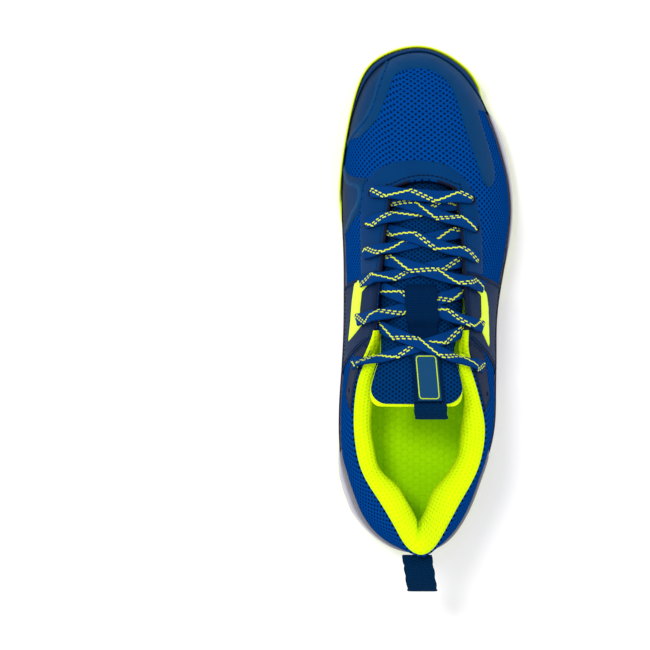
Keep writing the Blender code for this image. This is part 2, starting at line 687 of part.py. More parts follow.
def inset_ring(ring, distance):
    """The ring moved inwards along its plan normal."""
    ahead = np.roll(ring, -1, axis=0)
    behind = np.roll(ring, 1, axis=0)
    run = ahead - behind
    run /= np.linalg.norm(run, axis=1)[:, None]
    inward = np.stack([run[:, 1], -run[:, 0]], -1)
    centre = ring.mean(axis=0)
    if np.sum(inward * (centre - ring)) < 0:
        inward = -inward
    return ring + inward * np.reshape(distance, (-1, 1))


def strips(count):
    """Quads and end triangles that close a ring of paired points, for a flat or ruled cap."""
    faces = []
    for i in range(count // 2):
        a, b = i, i + 1
        c, d = (count - i - 1) % count, (count - i) % count
        face = [k for n, k in enumerate((a, b, c, d)) if k not in (a, b, c, d)[:n]]
        if len(face) > 2:
            faces.append(face)
    return faces


def stack(name, colour, rings, parent=None):
    """A closed solid through rings of paired points, capped by strips at both ends."""
    count = len(rings[0])
    faces = []
    for r in range(len(rings) - 1):
        for k in range(count):
            a = r * count + k
            b = r * count + (k + 1) % count
            faces.append([a, b, b + count, a + count])
    faces += [face[::-1] for face in strips(count)]
    last = (len(rings) - 1) * count
    faces += [[k + last for k in face] for face in strips(count)]
    return new_object(name, np.concatenate(rings), faces, colour, parent)


def raised(ring, height):
    return np.column_stack([ring, np.broadcast_to(height, len(ring))])


SOLE_TURNS = even_turns(sole_edge, 0, math.pi, 8.0)
sole_ring = paired_ring(sole_edge, SOLE_TURNS)
upper_ring = paired_ring(upper_edge, SOLE_TURNS)
ring_feather = feather_height(upper_ring[:, 1])
ring_tread = tread_height(sole_ring[:, 1])
# The outer sole wraps up in front; there the midsole wall stands inside the wrap.
WRAP_THICKNESS = 1.0
lateral_side = sole_ring[:, 0] > sole_middle_x(sole_ring[:, 1])
wrap = np.where(
    lateral_side,
    smooth_step(116, 124, sole_ring[:, 1]),
    smooth_step(52, 60, sole_ring[:, 1]),
)
wall_inset = (WRAP_THICKNESS + GAP) * wrap
room = polygon_distance(upper_ring[:, 0], upper_ring[:, 1], sole_ring)
lip_inner = inset_ring(upper_ring, -0.35)
lip_outer = inset_ring(upper_ring, -0.35 - np.clip(room - 0.35 - wall_inset - 0.35 * wrap, 0.5, 3.6))
foot_outer = inset_ring(sole_ring, wall_inset + 0.3)
midsole_floor = ring_feather - GAP
midsole_base = ring_tread + OUTSOLE_THICKNESS + GAP
arch = smooth_step(-42, -28, sole_ring[:, 1]) * (1 - smooth_step(0, 14, sole_ring[:, 1]))
SHANK_THICKNESS = 2.6
midsole_bottom = midsole_base + arch * (SHANK_THICKNESS + GAP)
stack(
    "midsole",
    "white",
    [
        raised(inset_ring(sole_ring, wall_inset + 1.2), midsole_bottom),
        raised(foot_outer, midsole_bottom + 2.5),
        raised(lip_outer, ring_feather + 1.0),
        raised(lip_outer, ring_feather + 4.4),
        raised(lip_inner, ring_feather + 4.9),
        raised(lip_inner, midsole_floor),
    ],
)


def span(turns, edge, front, back):
    """The angles whose slices lie between two y values, with both ends added exactly."""
    toe, heel = edge
    start = turn_of(front, toe[1], heel[1], False) if front is not None else 0.0
    stop = turn_of(back, toe[1], heel[1], False) if back is not None else math.pi
    inner = [t for t in turns if start + 0.02 < t < stop - 0.02]
    return np.array([start] + inner + [stop])


def cut_ring(turns):
    """A ring of paired points of the sole edge; a cut end keeps both of its corner points."""
    lateral = np.stack(sole_edge(turns), -1)
    medial = np.stack(sole_edge(2 * math.pi - turns), -1)
    first = 0 if turns[0] > 0 else 1
    last = len(turns) if turns[-1] < math.pi else len(turns) - 1
    return np.concatenate([lateral, medial[first:last][::-1]]), first == 0, last == len(turns)


def cut_caps(count, front_open):
    """Cap strips of a ring whose front end may be a straight cut."""
    if not front_open:
        return strips(count)
    faces = []
    for i in range(count // 2):
        face = []
        for k in (i, i + 1, count - 2 - i, count - 1 - i):
            if k not in face:
                face.append(k)
        if len(face) > 2:
            faces.append(face)
    return faces


def cut_stack(name, colour, rings, front_open, parent=None):
    count = len(rings[0])
    faces = []
    for r in range(len(rings) - 1):
        for k in range(count):
            a = r * count + k
            b = r * count + (k + 1) % count
            faces.append([a, b, b + count, a + count])
    last = (len(rings) - 1) * count
    for face in cut_caps(count, front_open):
        faces.append(face[::-1])
        faces.append([k + last for k in face])
    return new_object(name, np.concatenate(rings), faces, colour, parent)


FOREFOOT_BACK = 6.0
HEEL_FRONT = -38.0
front_turns = span(SOLE_TURNS, (SOLE_TOE, SOLE_HEEL), None, FOREFOOT_BACK)
heel_turns = span(SOLE_TURNS, (SOLE_TOE, SOLE_HEEL), HEEL_FRONT, None)
front_ring, _, _ = cut_ring(front_turns)
heel_ring, _, _ = cut_ring(heel_turns)
front_lateral = front_ring[:, 0] > sole_middle_x(front_ring[:, 1])
front_wrap = np.where(
    front_lateral,
    smooth_step(129, 135, front_ring[:, 1]),
    smooth_step(67, 74, front_ring[:, 1]),
)
front_tread = tread_height(front_ring[:, 1])
front_top = front_tread + OUTSOLE_THICKNESS
wrap_rise = front_wrap * (feather_height(front_ring[:, 1]) + 5.2 - front_top)
cut_stack(
    "outsole_forefoot",
    "rim",
    [
        raised(inset_ring(front_ring, 2.5), front_tread),
        raised(inset_ring(front_ring, 0.0), front_tread + 2.2),
        raised(inset_ring(front_ring, 0.0), front_top + wrap_rise - 0.05 * front_wrap),
        raised(inset_ring(front_ring, WRAP_THICKNESS), front_top + wrap_rise),
        raised(inset_ring(front_ring, WRAP_THICKNESS + 0.05), front_top),
    ],
    False,
)
heel_tread = tread_height(heel_ring[:, 1])
cut_stack(
    "outsole_heel",
    "rim",
    [
        raised(inset_ring(heel_ring, 2.5), heel_tread),
        raised(inset_ring(heel_ring, 0.4), heel_tread + 2.2),
        raised(inset_ring(heel_ring, 0.4), heel_tread + OUTSOLE_THICKNESS),
    ],
    True,
)


# Shank plate under the arch, between the two tread pieces.
shank_lateral = []
shank_medial = []
for at in np.linspace(FOREFOOT_BACK - 0.6, HEEL_FRONT + 0.6, 6):
    lateral_x, _ = sole_edge(turn_of(at, SOLE_TOE[1], SOLE_HEEL[1], False))
    medial_x, _ = sole_edge(turn_of(at, SOLE_TOE[1], SOLE_HEEL[1], True))
    shank_lateral.append((float(lateral_x) - 9.0, at))
    shank_medial.append((float(medial_x) + 9.0, at))
shank_ring = np.array(shank_lateral + shank_medial[::-1])
cut_stack(
    "midfoot_shank",
    "shank",
    [raised(shank_ring, 3.2), raised(shank_ring, OUTSOLE_THICKNESS + 0.3)],
    True,
)

# Board sewn to the upper's lower edge, and the loose sockliner on it.
board_ring = inset_ring(upper_ring, np.where(upper_ring[:, 1] < 45, 5.2, 3.4))
stack(
    "strobel_board",
    "board",
    [raised(board_ring, ring_feather + 0.1), raised(board_ring, ring_feather + 1.7)],
)


def hinge_empty(name, x, y, z):
    empty = bpy.data.objects.new(name, None)
    empty.location = (x / 1000, y / 1000, z / 1000)
    bpy.context.scene.collection.objects.link(empty)
    return empty


sockliner_ring = inset_ring(upper_ring, np.where(upper_ring[:, 1] < 45, 9.0, 5.4))
sockliner_hinge = hinge_empty("sockliner_hinge", 0, *SOCKLINER_HINGE)
stack(
    "sockliner",
    "lime",
    [
        raised(sockliner_ring, ring_feather + 2.1),
        raised(sockliner_ring, ring_feather + 6.6),
        raised(inset_ring(sockliner_ring, 3.0), ring_feather + 6.0),
    ],
    sockliner_hinge,
)


def seat(x, y, medial):
    """Point and outward normal of the upper's outer face at a plan position beside the throat."""
    turn = turn_of(y, UPPER_TOE[1], UPPER_HEEL[1], medial)
    line = wall(turn, np.linspace(0.3, 1, 71))
    order = np.argsort(line[:, 0])
    v = float(np.interp(x, line[order, 0], np.linspace(0.3, 1, 71)[order]))
    point = wall(turn, v)
    up = wall(turn, min(v + 0.02, 1)) - wall(turn, v - 0.02)
    run = wall(turn + 0.02, v) - wall(turn - 0.02, v)
    normal = np.cross(run, up)
    normal /= np.linalg.norm(normal)
    return point, normal if normal[2] > 0 else -normal


# Padded collar. A section is drawn in reach from the wall and height, then carried around the heel.
COLLAR_START = -24.0
LINING_THICKNESS = 1.3


def collar_frame(turn):
    """Inward direction and depth of the pad at this angle."""
    start = np.array([float(edge_x(turn)), float(edge_y(turn))])
    reach = np.array([float(pad_x(turn)), float(pad_y(turn))]) - start
    depth = float(np.linalg.norm(reach))
    return reach / depth, depth - 1.5


def collar_point(turn, reach, height):
    """A point inside the wall: 1.5 behind its face, then further in along the pad direction."""
    base = float(feather_height(upper_edge(turn)[1]))
    top = float(edge_z(turn))
    v = min(1.0, (height - base) / (top - base))
    face = wall(turn, v)
    ahead = wall(turn + 0.02, v)
    behind = wall(turn - 0.02, v)
    run = (ahead - behind)[:2]
    run /= np.linalg.norm(run)
    inward = np.array([-run[1], run[0]])
    direction, _ = collar_frame(turn)
    if inward @ direction < 0:
        inward = -inward
    x, y = face[:2] + inward * 1.5 + direction * reach
    return np.array([x, y, height])


def pad_profile(turn):
    """Visible face of the collar lining: from the top line over the pad and down to the board."""
    _, depth = collar_frame(turn)
    top = float(edge_z(turn))
    base = float(feather_height(upper_edge(turn)[1]))
    low = min(depth, max(4.4, 0.2 * depth))
    full = float(smooth_step(6, 12, depth))
    return np.array([
        (0.1, top - 1.6), (0.5, top + 0.5 + 0.4 * full), (0.30 * depth, top + 1.3 + 1.5 * full),
        (0.62 * depth, top + 0.4 + 1.8 * full), (0.9 * depth, top - 2.8 + 0.8 * full),
        (depth, top - 8.0), (max(0.84 * depth, low), top - 16.0),
        (max(0.45 * depth, low), top - 25.0), (low, top - 33.0), (min(low, 3.9), base + 2.3),
    ])


def offset_profile(profile, distance):
    """The open profile moved towards the wall side."""
    run = np.gradient(profile, axis=0)
    run /= np.linalg.norm(run, axis=1)[:, None]
    return profile + np.stack([run[:, 1], -run[:, 0]], -1) * distance


def collar_turns(length):
    start = turn_of(COLLAR_START, UPPER_TOE[1], UPPER_HEEL[1], False)
    half = even_turns(upper_edge, start, math.pi, length)
    return np.concatenate([half, 2 * math.pi - half[-2::-1]])


lining_sections = []
foam_sections = []
for turn in collar_turns(CELL_LENGTH):
    profile = pad_profile(turn)
    back = offset_profile(profile, LINING_THICKNESS)
    back[0] = (0.1 + LINING_THICKNESS, profile[0][1])
    section = [collar_point(turn, r, z) for r, z in profile]
    section += [collar_point(turn, r, z) for r, z in back[::-1]]
    lining_sections.append(section)
    _, depth = collar_frame(turn)
    top = float(edge_z(turn))
    base = float(feather_height(upper_edge(turn)[1]))
    low = profile[8][0]
    full = float(smooth_step(6, 12, depth))
    inner = [
        (2.1, top - 2.8), (max(2.4, 0.36 * depth), top - 1.4 + 1.3 * full),
        (max(2.5, 0.58 * depth - 0.8), top - 2.4 + 1.8 * full),
        (max(2.6, 0.9 * depth - 2.2), top - 4.9 + full), (depth - 2.1, top - 8.6),
        (profile[6][0] - 1.75, top - 15.2), (profile[7][0] - 1.7, top - 23.8), (low - 1.8, top - 32.0),
    ]
    step = base + 0.74 * (top - base)
    low_z = inner[-1][1]
    outer = [
        (1.8, top - 3.4), (1.8, step + 2), (2.3, step), (2.3, step - 4), (2.3, step - 7),
        (2.3, 0.5 * (step - 7 + low_z)), (2.3, low_z + 2), (2.3, low_z),
    ]
    ring = np.array(inner + outer[::-1])
    ring = ring.mean(axis=0) + (ring - ring.mean(axis=0)) * 0.97
    foam_sections.append([collar_point(turn, r, z) for r, z in ring])
collar_lining = loft("collar_lining", "neon", lining_sections)
collar_foam = loft("collar_foam", "foam", foam_sections)


# Tongue: a padded leaf under the throat, then rising free above the collar.
TONGUE_FREE = [(-52, 118.5), (-48, 117.0), (-34, 110.5), (-20, 103.0)]


def throat_level(y):
    """Mean height of the two throat edges."""
    lateral = wall(upper_turn(y, False), 1.0)
    medial = wall(upper_turn(y, True), 1.0)
    return float(lateral[2] + medial[2]) / 2


TONGUE_HEIGHT = TONGUE_FREE + [(y, throat_level(y) + rise) for y, rise in (
    (-9, 0.6), (8, 0.2), (25, 0.0), (45, -0.4), (60, -1.4), (68, -2.6), (80, -6.5),
)]
TONGUE_MIDDLE = [
    (-50, -8.2), (-34, -7.6), (-20, -7.0), (-9, -5.4), (8, -4.8), (25, -4.1), (45, -3.4), (80, -2.6),
]
TONGUE_HALF = [
    (-50, 25.4), (-43, 25.8), (-34, 24.0), (-22, 20.8), (-12, 21.8), (-5, 23.2), (5, 24.0), (25, 23.2),
    (45, 21.9), (60, 19.2), (80, 15.0),
]
TONGUE_DROP = [(-50, 7.0), (-34, 7.2), (-12, 9.4), (10, 11.0), (30, 11.2), (60, 9.5), (80, 6.0)]
tongue_height = along(TONGUE_HEIGHT)
tongue_middle = along(TONGUE_MIDDLE)
tongue_half = along(TONGUE_HALF)
tongue_drop = along(TONGUE_DROP)


def tongue_point(x, y):
    """Height of the tongue's outer face."""
    share = (x - tongue_middle(y)) / tongue_half(y)
    return tongue_height(y) - tongue_drop(y) * np.abs(share) ** 3


def sheet_solid(name, colour, face, normal, under, over, parent):
    """A closed slab over a rectangular grid of points, between two offsets along the normals."""
    rows, columns = face.shape[:2]
    top = (face + normal * over[..., None]).reshape(-1, 3)
    bottom = (face + normal * under[..., None]).reshape(-1, 3)
    count = rows * columns
    faces = []
    for i in range(rows - 1):
        for j in range(columns - 1):
            a = i * columns + j
            quad = [a, a + 1, a + columns + 1, a + columns]
            faces.append(quad)
            faces.append([k + count for k in quad[::-1]])
    rim = [j for j in range(columns)]
    rim += [i * columns + columns - 1 for i in range(1, rows)]
    rim += [(rows - 1) * columns + j for j in range(columns - 2, -1, -1)]
    rim += [i * columns for i in range(rows - 2, 0, -1)]
    for a, b in zip(rim, rim[1:] + rim[:1]):
        faces.append([b, a, a + count, b + count])
    return new_object(name, np.concatenate([top, bottom]), faces, colour, parent)


def grid_normals(face):
    along_rows = np.gradient(face, axis=0)
    along_columns = np.gradient(face, axis=1)
    normal = np.cross(along_rows, along_columns)
    normal /= np.linalg.norm(normal, axis=-1)[..., None]
    return normal * np.sign(normal[..., 2:3].mean())


def tongue_grid(front, back, shrink, rows, columns):
    y, share = np.meshgrid(np.linspace(front, back, rows), np.linspace(-1, 1, columns), indexing="ij")
    x = tongue_middle(y) + (tongue_half(y) - shrink) * share
    return np.stack([x, y, tongue_point(x, y)], -1)


tongue_hinge = hinge_empty("tongue_hinge", 0, *TONGUE_HINGE)
shell_face = tongue_grid(79.0, -50.0, 0.0, 15, 9)
shell_normal = grid_normals(shell_face)
ones = np.ones(shell_face.shape[:2])
sheet_solid(
    "tongue_outer_mesh", "knit", shell_face, shell_normal, -1.0 * ones, 0 * ones, tongue_hinge
)
foam_depth = 4.6 - 2.3 * smooth_step(40, 70, shell_face[..., 1])
sheet_solid(
    "tongue_foam", "foam", shell_face, shell_normal, -1.5 - foam_depth, -1.5 * ones, tongue_hinge
)
sheet_solid(
    "tongue_lining",
    "neon",
    shell_face,
    shell_normal,
    -3.0 - foam_depth,
    -2.0 - foam_depth,
    tongue_hinge,
)


# Webbing strip down the tongue: it bridges the fourth lace crossing, then carries the label.
KEEPER_CLEARANCE = 6.2
STRIP_GAP = 0.6
STRIP_FRONT = 16.0
STRIP_BACK = -49.0


def strip_middle(y):
    return np.interp(y, [-60, 6], [-0.4, -5.2])


def strip_lift(y):
    """Clearance under the webbing: it stands off over the lace crossing that it holds down."""
    bridge = smooth_step(16, 10.5, y) * smooth_step(-9.5, -4.0, y)
    return STRIP_GAP + (KEEPER_CLEARANCE - STRIP_GAP) * bridge


def strip_grid(front, back, width, rows, columns):
    y, share = np.meshgrid(
        np.linspace(front, back, rows), np.linspace(-0.5, 0.5, columns), indexing="ij"
    )
    x = strip_middle(y) + width * share
    return np.stack([x, y, tongue_point(x, y)], -1)


strip_face = strip_grid(STRIP_FRONT, STRIP_BACK, WEBBING_WIDTH, 23, 5)
strip_normal = grid_normals(strip_face)
strip_under = strip_lift(strip_face[..., 1])
sheet_solid(
    "tongue_webbing_keeper",
    "navy",
    strip_face,
    strip_normal,
    strip_under,
    strip_under + WEBBING_THICKNESS,
    tongue_hinge,
)
label_face = strip_grid(-26.0, -48.8, 10.5, 6, 3)
label_normal = grid_normals(label_face)
label_under = np.full(label_face.shape[:2], STRIP_GAP + WEBBING_THICKNESS + GAP)
sheet_solid("tongue_label", "label", label_face, label_normal, label_under, label_under + 0.8, tongue_hinge)


def ribbon(name, colour, path, widths, depths, sides, parent=None):
    """A closed band of rectangular section along a path; sides are the width directions."""
    path = np.array(path)
    run = np.gradient(path, axis=0)
    run /= np.linalg.norm(run, axis=1)[:, None]
    sides = np.array(sides, float)
    sides -= run * np.sum(sides * run, axis=1)[:, None]
    sides /= np.linalg.norm(sides, axis=1)[:, None]
    faces_up = np.cross(sides, run)
    sections = []
    for at, side, up, width, depth in zip(path, sides, faces_up, widths, depths):
        a = side * width / 2
        b = up * depth / 2
        sections.append([at - a - b, at + a - b, at + a + b, at - a + b])
    return loft(name, colour, sections, parent)


# Pull loop of the tongue: folded webbing whose ends are stitched at the tongue's top edge.
loop_empty = hinge_empty("tongue_loop_hinge", 0, *LOOP_HINGE)


def pull_loop(name, colour, spine, middle, width, parent):
    """Folded webbing: the band runs out along the spine points (y, z) and back to its start."""
    path = [(middle, y, z) for y, z in spine]
    count = len(path)
    return ribbon(
        name, colour, path, [width] * count, [WEBBING_THICKNESS] * count, [(1, 0, 0)] * count, parent
    )


loop_spine = [
    (-50.4, 120.4), (-52.4, 121.0), (-54.8, 120.8), (-57.0, 119.4), (-58.4, 117.0), (-58.6, 114.4),
    (-57.4, 112.2), (-55.4, 111.2), (-53.6, 111.4),
]
pull_loop("tongue_pull_loop", "navy", loop_spine, -0.8, WEBBING_WIDTH, loop_empty)
tab_hinge = hinge_empty("heel_tab_hinge", -5.5, *TAB_HINGE)
tab_spine = [
    (-139.6, 88.6), (-142.5, 89.6), (-146.0, 89.6), (-150.0, 88.6), (-154.0, 86.6), (-157.2, 83.4),
    (-158.2, 79.6), (-156.8, 76.2), (-153.4, 74.8), (-149.6, 75.8), (-146.4, 78.4), (-143.6, 81.4),
    (-141.0, 84.2),
]
pull_loop("heel_pull_tab", "navy", tab_spine, -5.4, WEBBING_WIDTH, tab_hinge)


# Lace: one flat band. A straight bar joins the front eyelets; both ends then zigzag to the last pair.
UNDER = 3.76
OVER = 2.7
OVER_TONGUE = 1.6
OVER_STRIP = 3.6
CROSSING_STEP = 1.6
AGLET_LENGTH = 18.0


def eyelet_seats():
    rows = []
    for medial_at, lateral_at in zip(EYELETS_MEDIAL, EYELETS_LATERAL):
        rows.append({"m": seat(*medial_at, True), "l": seat(*lateral_at, False)})
    return rows


SEATS = eyelet_seats()


def edge_crossing(start, stop):
    """The plan point where a line leaves the throat, and the height of the edge there."""
    medial = start[0] < stop[0]
    best = None
    for share in np.linspace(0, 1, 201):
        x, y = start[:2] + (stop[:2] - start[:2]) * share
        turn = upper_turn(y, medial)
        beyond = (x - float(edge_x(turn))) * (1 if medial else -1)
        if beyond > 0:
            best = (x, y, float(wall(turn, 1.0)[2]))
            break
    return np.array(best)


def tongue_normal(x, y):
    step = 0.5
    across = (tongue_point(x + step, y) - tongue_point(x - step, y)) / (2 * step)
    along_y = (tongue_point(x, y + step) - tongue_point(x, y - step)) / (2 * step)
    normal = np.array([-float(across), -float(along_y), 1.0])
    return normal / np.linalg.norm(normal)


def along_wall(edge, at, medial, offset, lift):
    """Points on the wall from the throat edge to an eyelet, held off its face, with the wall's normals."""
    rows = []
    for share in (0.02, 0.3, 0.65):
        x, y = edge[:2] + (at[:2] - edge[:2]) * share
        point, normal = seat(x, y, medial)
        rows.append((point + normal * offset + np.array([0, 0, lift * (1 - share)]), normal))
    return rows


def span_points(row, side, upper_strand, lift):
    """From under an eyelet, out below the throat edge, over the tongue, to above the next eyelet."""
    medial = side == "m"
    start, start_normal = SEATS[row][side]
    stop, stop_normal = SEATS[row + 1]["l" if medial else "m"]
    leave = edge_crossing(start, stop)
    arrive = edge_crossing(stop, start)
    # The last crossing rises over the front ends of the padded collar.
    clear = 5.7 if row == 4 else 0.8
    rows = [(start - start_normal * UNDER, start_normal)]
    rows += along_wall(leave, start, medial, -UNDER, 0.0)[1::-1]
    leave_z = rows[-1][0][2]
    onto = along_wall(arrive, stop, not medial, OVER, clear)
    for share in (0.14, 0.26, 0.38, 0.5, 0.62, 0.74, 0.86):
        x, y, _ = leave + (arrive - leave) * share
        level = lift + (CROSSING_STEP if upper_strand else 0.0)
        level += 0.8 * smooth_step(0.66, 0.95, share) + 0.7 * smooth_step(0.40, 0.05, share)
        z = float(tongue_point(x, y)) + level
        if share < 0.2:
            z = 0.56 * z + 0.44 * leave_z
        if share > 0.8:
            z = 0.3 * z + 0.7 * onto[0][0][2]
        rows.append((np.array([x, y, z]), tongue_normal(x, y)))
    rows += onto
    rows.append((stop + stop_normal * OVER, stop_normal))
    heading = stop - start
    heading[2] = 0
    return [np.concatenate([point, width_way(normal, heading)]) for point, normal in rows]


def width_way(normal, heading):
    """The band's width direction on a surface: square to its heading, always towards +Y."""
    way = np.cross(normal, heading)
    way /= np.linalg.norm(way)
    return way if way[1] > 0 else -way


def through(row, side):
    """Points down through an eyelet, from above it to below it."""
    at, normal = SEATS[row][side]
    way = np.array([0.0, 1.0, 0.0])
    return [np.concatenate([at + normal * rise, way]) for rise in (0.9, -0.9, -2.2)]


def lace_path():
    """Points and width directions of the whole lace, from one tucked end to the other."""
    start, start_normal = SEATS[0]["m"]
    stop, stop_normal = SEATS[0]["l"]
    left = edge_crossing(start, stop)
    right = edge_crossing(stop, start)
    rows = [(start + start_normal * OVER, start_normal)]
    rows += along_wall(left, start, True, OVER, 0.0)[::-1]
    for share in (0.2, 0.4, 0.6, 0.8):
        x, y, z = left + (right - left) * share
        point = np.array([x, y, z + OVER + 2.4 * math.sin(math.pi * share)])
        rows.append((point, np.array([0.0, 0.25, 1.0])))
    rows += along_wall(right, stop, False, OVER, 0.0)
    rows.append((stop + stop_normal * OVER, stop_normal))
    heading = stop - start
    bar = [np.concatenate([point, width_way(normal, heading)]) for point, normal in rows]

    def strand(side):
        points = []
        for row in range(5):
            points += through(row, side)
            lift = OVER_STRIP if row == 4 else OVER_TONGUE
            points += span_points(row, side, side == "m", lift)
            side = "l" if side == "m" else "m"
        at, normal = SEATS[5][side]
        points += through(5, side)
        way = np.array([0.0, 1.0, 0.0])
        points += [np.concatenate([at - normal * deep, way]) for deep in (6.0, 10.0, 14.0)]
        out = 1.0 if side == "l" else -1.0
        for x, y, z in ((18.0, 3.0, -8.0), (18.5, 8.0, -19.0), (17.5, 15.0, -29.0), (15.0, 22.0, -37.0)):
            points.append(np.concatenate([[at[0] - out * x, at[1] + y, at[2] + z], way]))
        return points

    return strand("m")[::-1] + bar + strand("l")


def smooth_path(rows, length):
    """Evenly spaced points, with their width directions, on a smooth curve through the given ones."""
    rows = np.array(rows)
    steps = np.linalg.norm(np.diff(rows[:, :3], axis=0), axis=1)
    at = np.concatenate([[0], np.cumsum(np.sqrt(steps))])
    curves = [natural_spline(at, rows[:, k]) for k in range(6)]
    fine = np.linspace(0, at[-1], 4000)
    line = np.stack([curve(fine) for curve in curves[:3]], -1)
    run = np.concatenate([[0], np.cumsum(np.linalg.norm(np.diff(line, axis=0), axis=1))])
    count = int(run[-1] / length)
    even = np.interp(np.linspace(0, run[-1], count + 1), run, fine)
    values = np.stack([curve(even) for curve in curves], -1)
    return values[:, :3], values[:, 3:], run[-1]


LACE_LINE, LACE_WAYS, LACE_LENGTH = smooth_path(lace_path(), 4.2)
narrow_points = [SEATS[row][side][0] for row in range(6) for side in "ml"]
for side in "ml":
    narrow_points += [SEATS[5][side][0] - SEATS[5][side][1] * deep for deep in (5, 9, 13, 16)]
near_eyelet = np.min([np.linalg.norm(LACE_LINE - p, axis=1) for p in narrow_points], axis=0)
squeeze = smooth_step(1.5, 7.0, near_eyelet)
lace_widths = 3.0 + (LACE_WIDTH - 3.0) * squeeze
lace_depths = np.full(len(LACE_LINE), LACE_THICKNESS)
ribbon("lace", "lace", LACE_LINE, lace_widths, lace_depths, LACE_WAYS)


def aglet(name, end, before):
    """The rolled plastic tip that closes a lace end."""
    run = end - before
    run /= np.linalg.norm(run)
    a = np.cross(run, [0.0, 1.0, 0.0])
    a /= np.linalg.norm(a)
    b = np.cross(run, a)
    angles = np.linspace(0, 2 * math.pi, 12, endpoint=False)
    sections = []
    for distance, radius in ((GAP, 1.75), (2.0, 1.9), (AGLET_LENGTH - 1.5, 1.6), (AGLET_LENGTH, 1.0)):
        centre = end + run * distance
        sections.append([centre + radius * (a * math.cos(t) + b * math.sin(t)) for t in angles])
    loft(name, "aglet", sections)


aglet("lace_aglet_medial", LACE_LINE[0], LACE_LINE[1])
aglet("lace_aglet_lateral", LACE_LINE[-1], LACE_LINE[-2])


def eyelet_cutter(name, at, normal, radius, outward, inward):
    """A round cutter through the layers at an eyelet."""
    helper = np.array([0.0, 1.0, 0.0])
    a = np.cross(normal, helper)
    a /= np.linalg.norm(a)
    b = np.cross(normal, a)
    sections = []
    for distance in (outward, -inward):
        centre = at + normal * distance
        angles = np.linspace(0, 2 * math.pi, 16, endpoint=False)
        sections.append([centre + radius * (a * math.cos(t) + b * math.sin(t)) for t in angles])
    cutter = loft(name, "grey", sections)
    cutter.hide_render = True
    cutter.display_type = "WIRE"
    return cutter


def punch(item, cutter):
    cut = item.modifiers.new(cutter.name, "BOOLEAN")
    cut.operation = "DIFFERENCE"
    cut.solver = "EXACT"
    cut.object = cutter


for row in range(6):
    for side, strap, ankle in (("m", medial_strap, medial_ankle), ("l", lateral_strap, lateral_ankle)):
        at, normal = SEATS[row][side]
        cutter = eyelet_cutter(f"cut_eyelet_{side}{row + 1}", at, normal, EYELET_RADIUS, 5.0, 6.0)
        punch(upper, cutter)
        if row < 3:
            punch(eyestay, cutter)
            punch(lining, cutter)
        elif row < 5:
            punch(strap, cutter)
            punch(lining, cutter)
        else:
            punch(ankle, cutter)
            passage = eyelet_cutter(f"cut_passage_{side}", at, normal, 3.4, -1.4, 24.0)
            punch(collar_foam, passage)
            punch(collar_lining, passage)
for (x, y), ankle, medial in zip(SPARE_EYELETS, (medial_ankle, lateral_ankle), (True, False)):
    at, normal = seat(x, y, medial)
    cutter = eyelet_cutter("cut_spare_" + ankle.name, at, normal, SPARE_EYELET_RADIUS, 4.0, 0.7)
    punch(ankle, cutter)
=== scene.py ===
"""Looks of a right-foot court shoe: knit, films, padding, webbing, lace and sole on the CAD frame."""

import math

import bmesh
import bpy
import mathutils
import numpy as np
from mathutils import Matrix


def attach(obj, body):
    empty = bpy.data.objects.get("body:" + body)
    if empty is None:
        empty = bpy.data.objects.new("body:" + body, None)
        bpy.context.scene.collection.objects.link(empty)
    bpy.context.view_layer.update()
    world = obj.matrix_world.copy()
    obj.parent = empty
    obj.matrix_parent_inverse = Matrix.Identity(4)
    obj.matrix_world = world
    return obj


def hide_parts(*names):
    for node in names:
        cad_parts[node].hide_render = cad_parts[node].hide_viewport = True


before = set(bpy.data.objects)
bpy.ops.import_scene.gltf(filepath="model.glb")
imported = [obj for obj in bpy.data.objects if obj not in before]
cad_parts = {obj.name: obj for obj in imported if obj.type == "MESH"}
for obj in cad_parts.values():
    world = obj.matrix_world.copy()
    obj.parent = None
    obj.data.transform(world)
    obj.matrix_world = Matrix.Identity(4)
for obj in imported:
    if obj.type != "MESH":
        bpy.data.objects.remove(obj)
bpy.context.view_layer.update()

# The camera looks straight down, as the photograph does, with the shoe in the right half of the view.
CAMERA_PLACE = (-0.0595, -0.0065, 1.7)
CAMERA_LENS = 156.9
camera_data = bpy.data.cameras.new("camera")
camera_data.lens = CAMERA_LENS
camera_data.sensor_width = 36.0
camera = bpy.data.objects.new("camera", camera_data)
camera.location = CAMERA_PLACE
bpy.context.scene.collection.objects.link(camera)
bpy.context.scene.camera = camera
bpy.context.scene.view_settings.view_transform = "Standard"


# Lengths below are millimetres. +Y is the toe, +X the outer (lateral) side, +Z up.
SOLE_TOE = (-5.0, 158.5)
SOLE_HEEL = (-8.0, -140.4)
UPPER_TOE = (-4.5, 154.2)
UPPER_HEEL = (-7.0, -138.6)
OUTSOLE_THICKNESS = 4.5
KNIT_THICKNESS = 1.2
GAP = 0.3
SEAM_GAP = 0.5
EYELET_RADIUS = 2.2
SPARE_EYELET_RADIUS = 1.3
WEBBING_WIDTH = 18.0


COLLAR_FRONT = -20.0

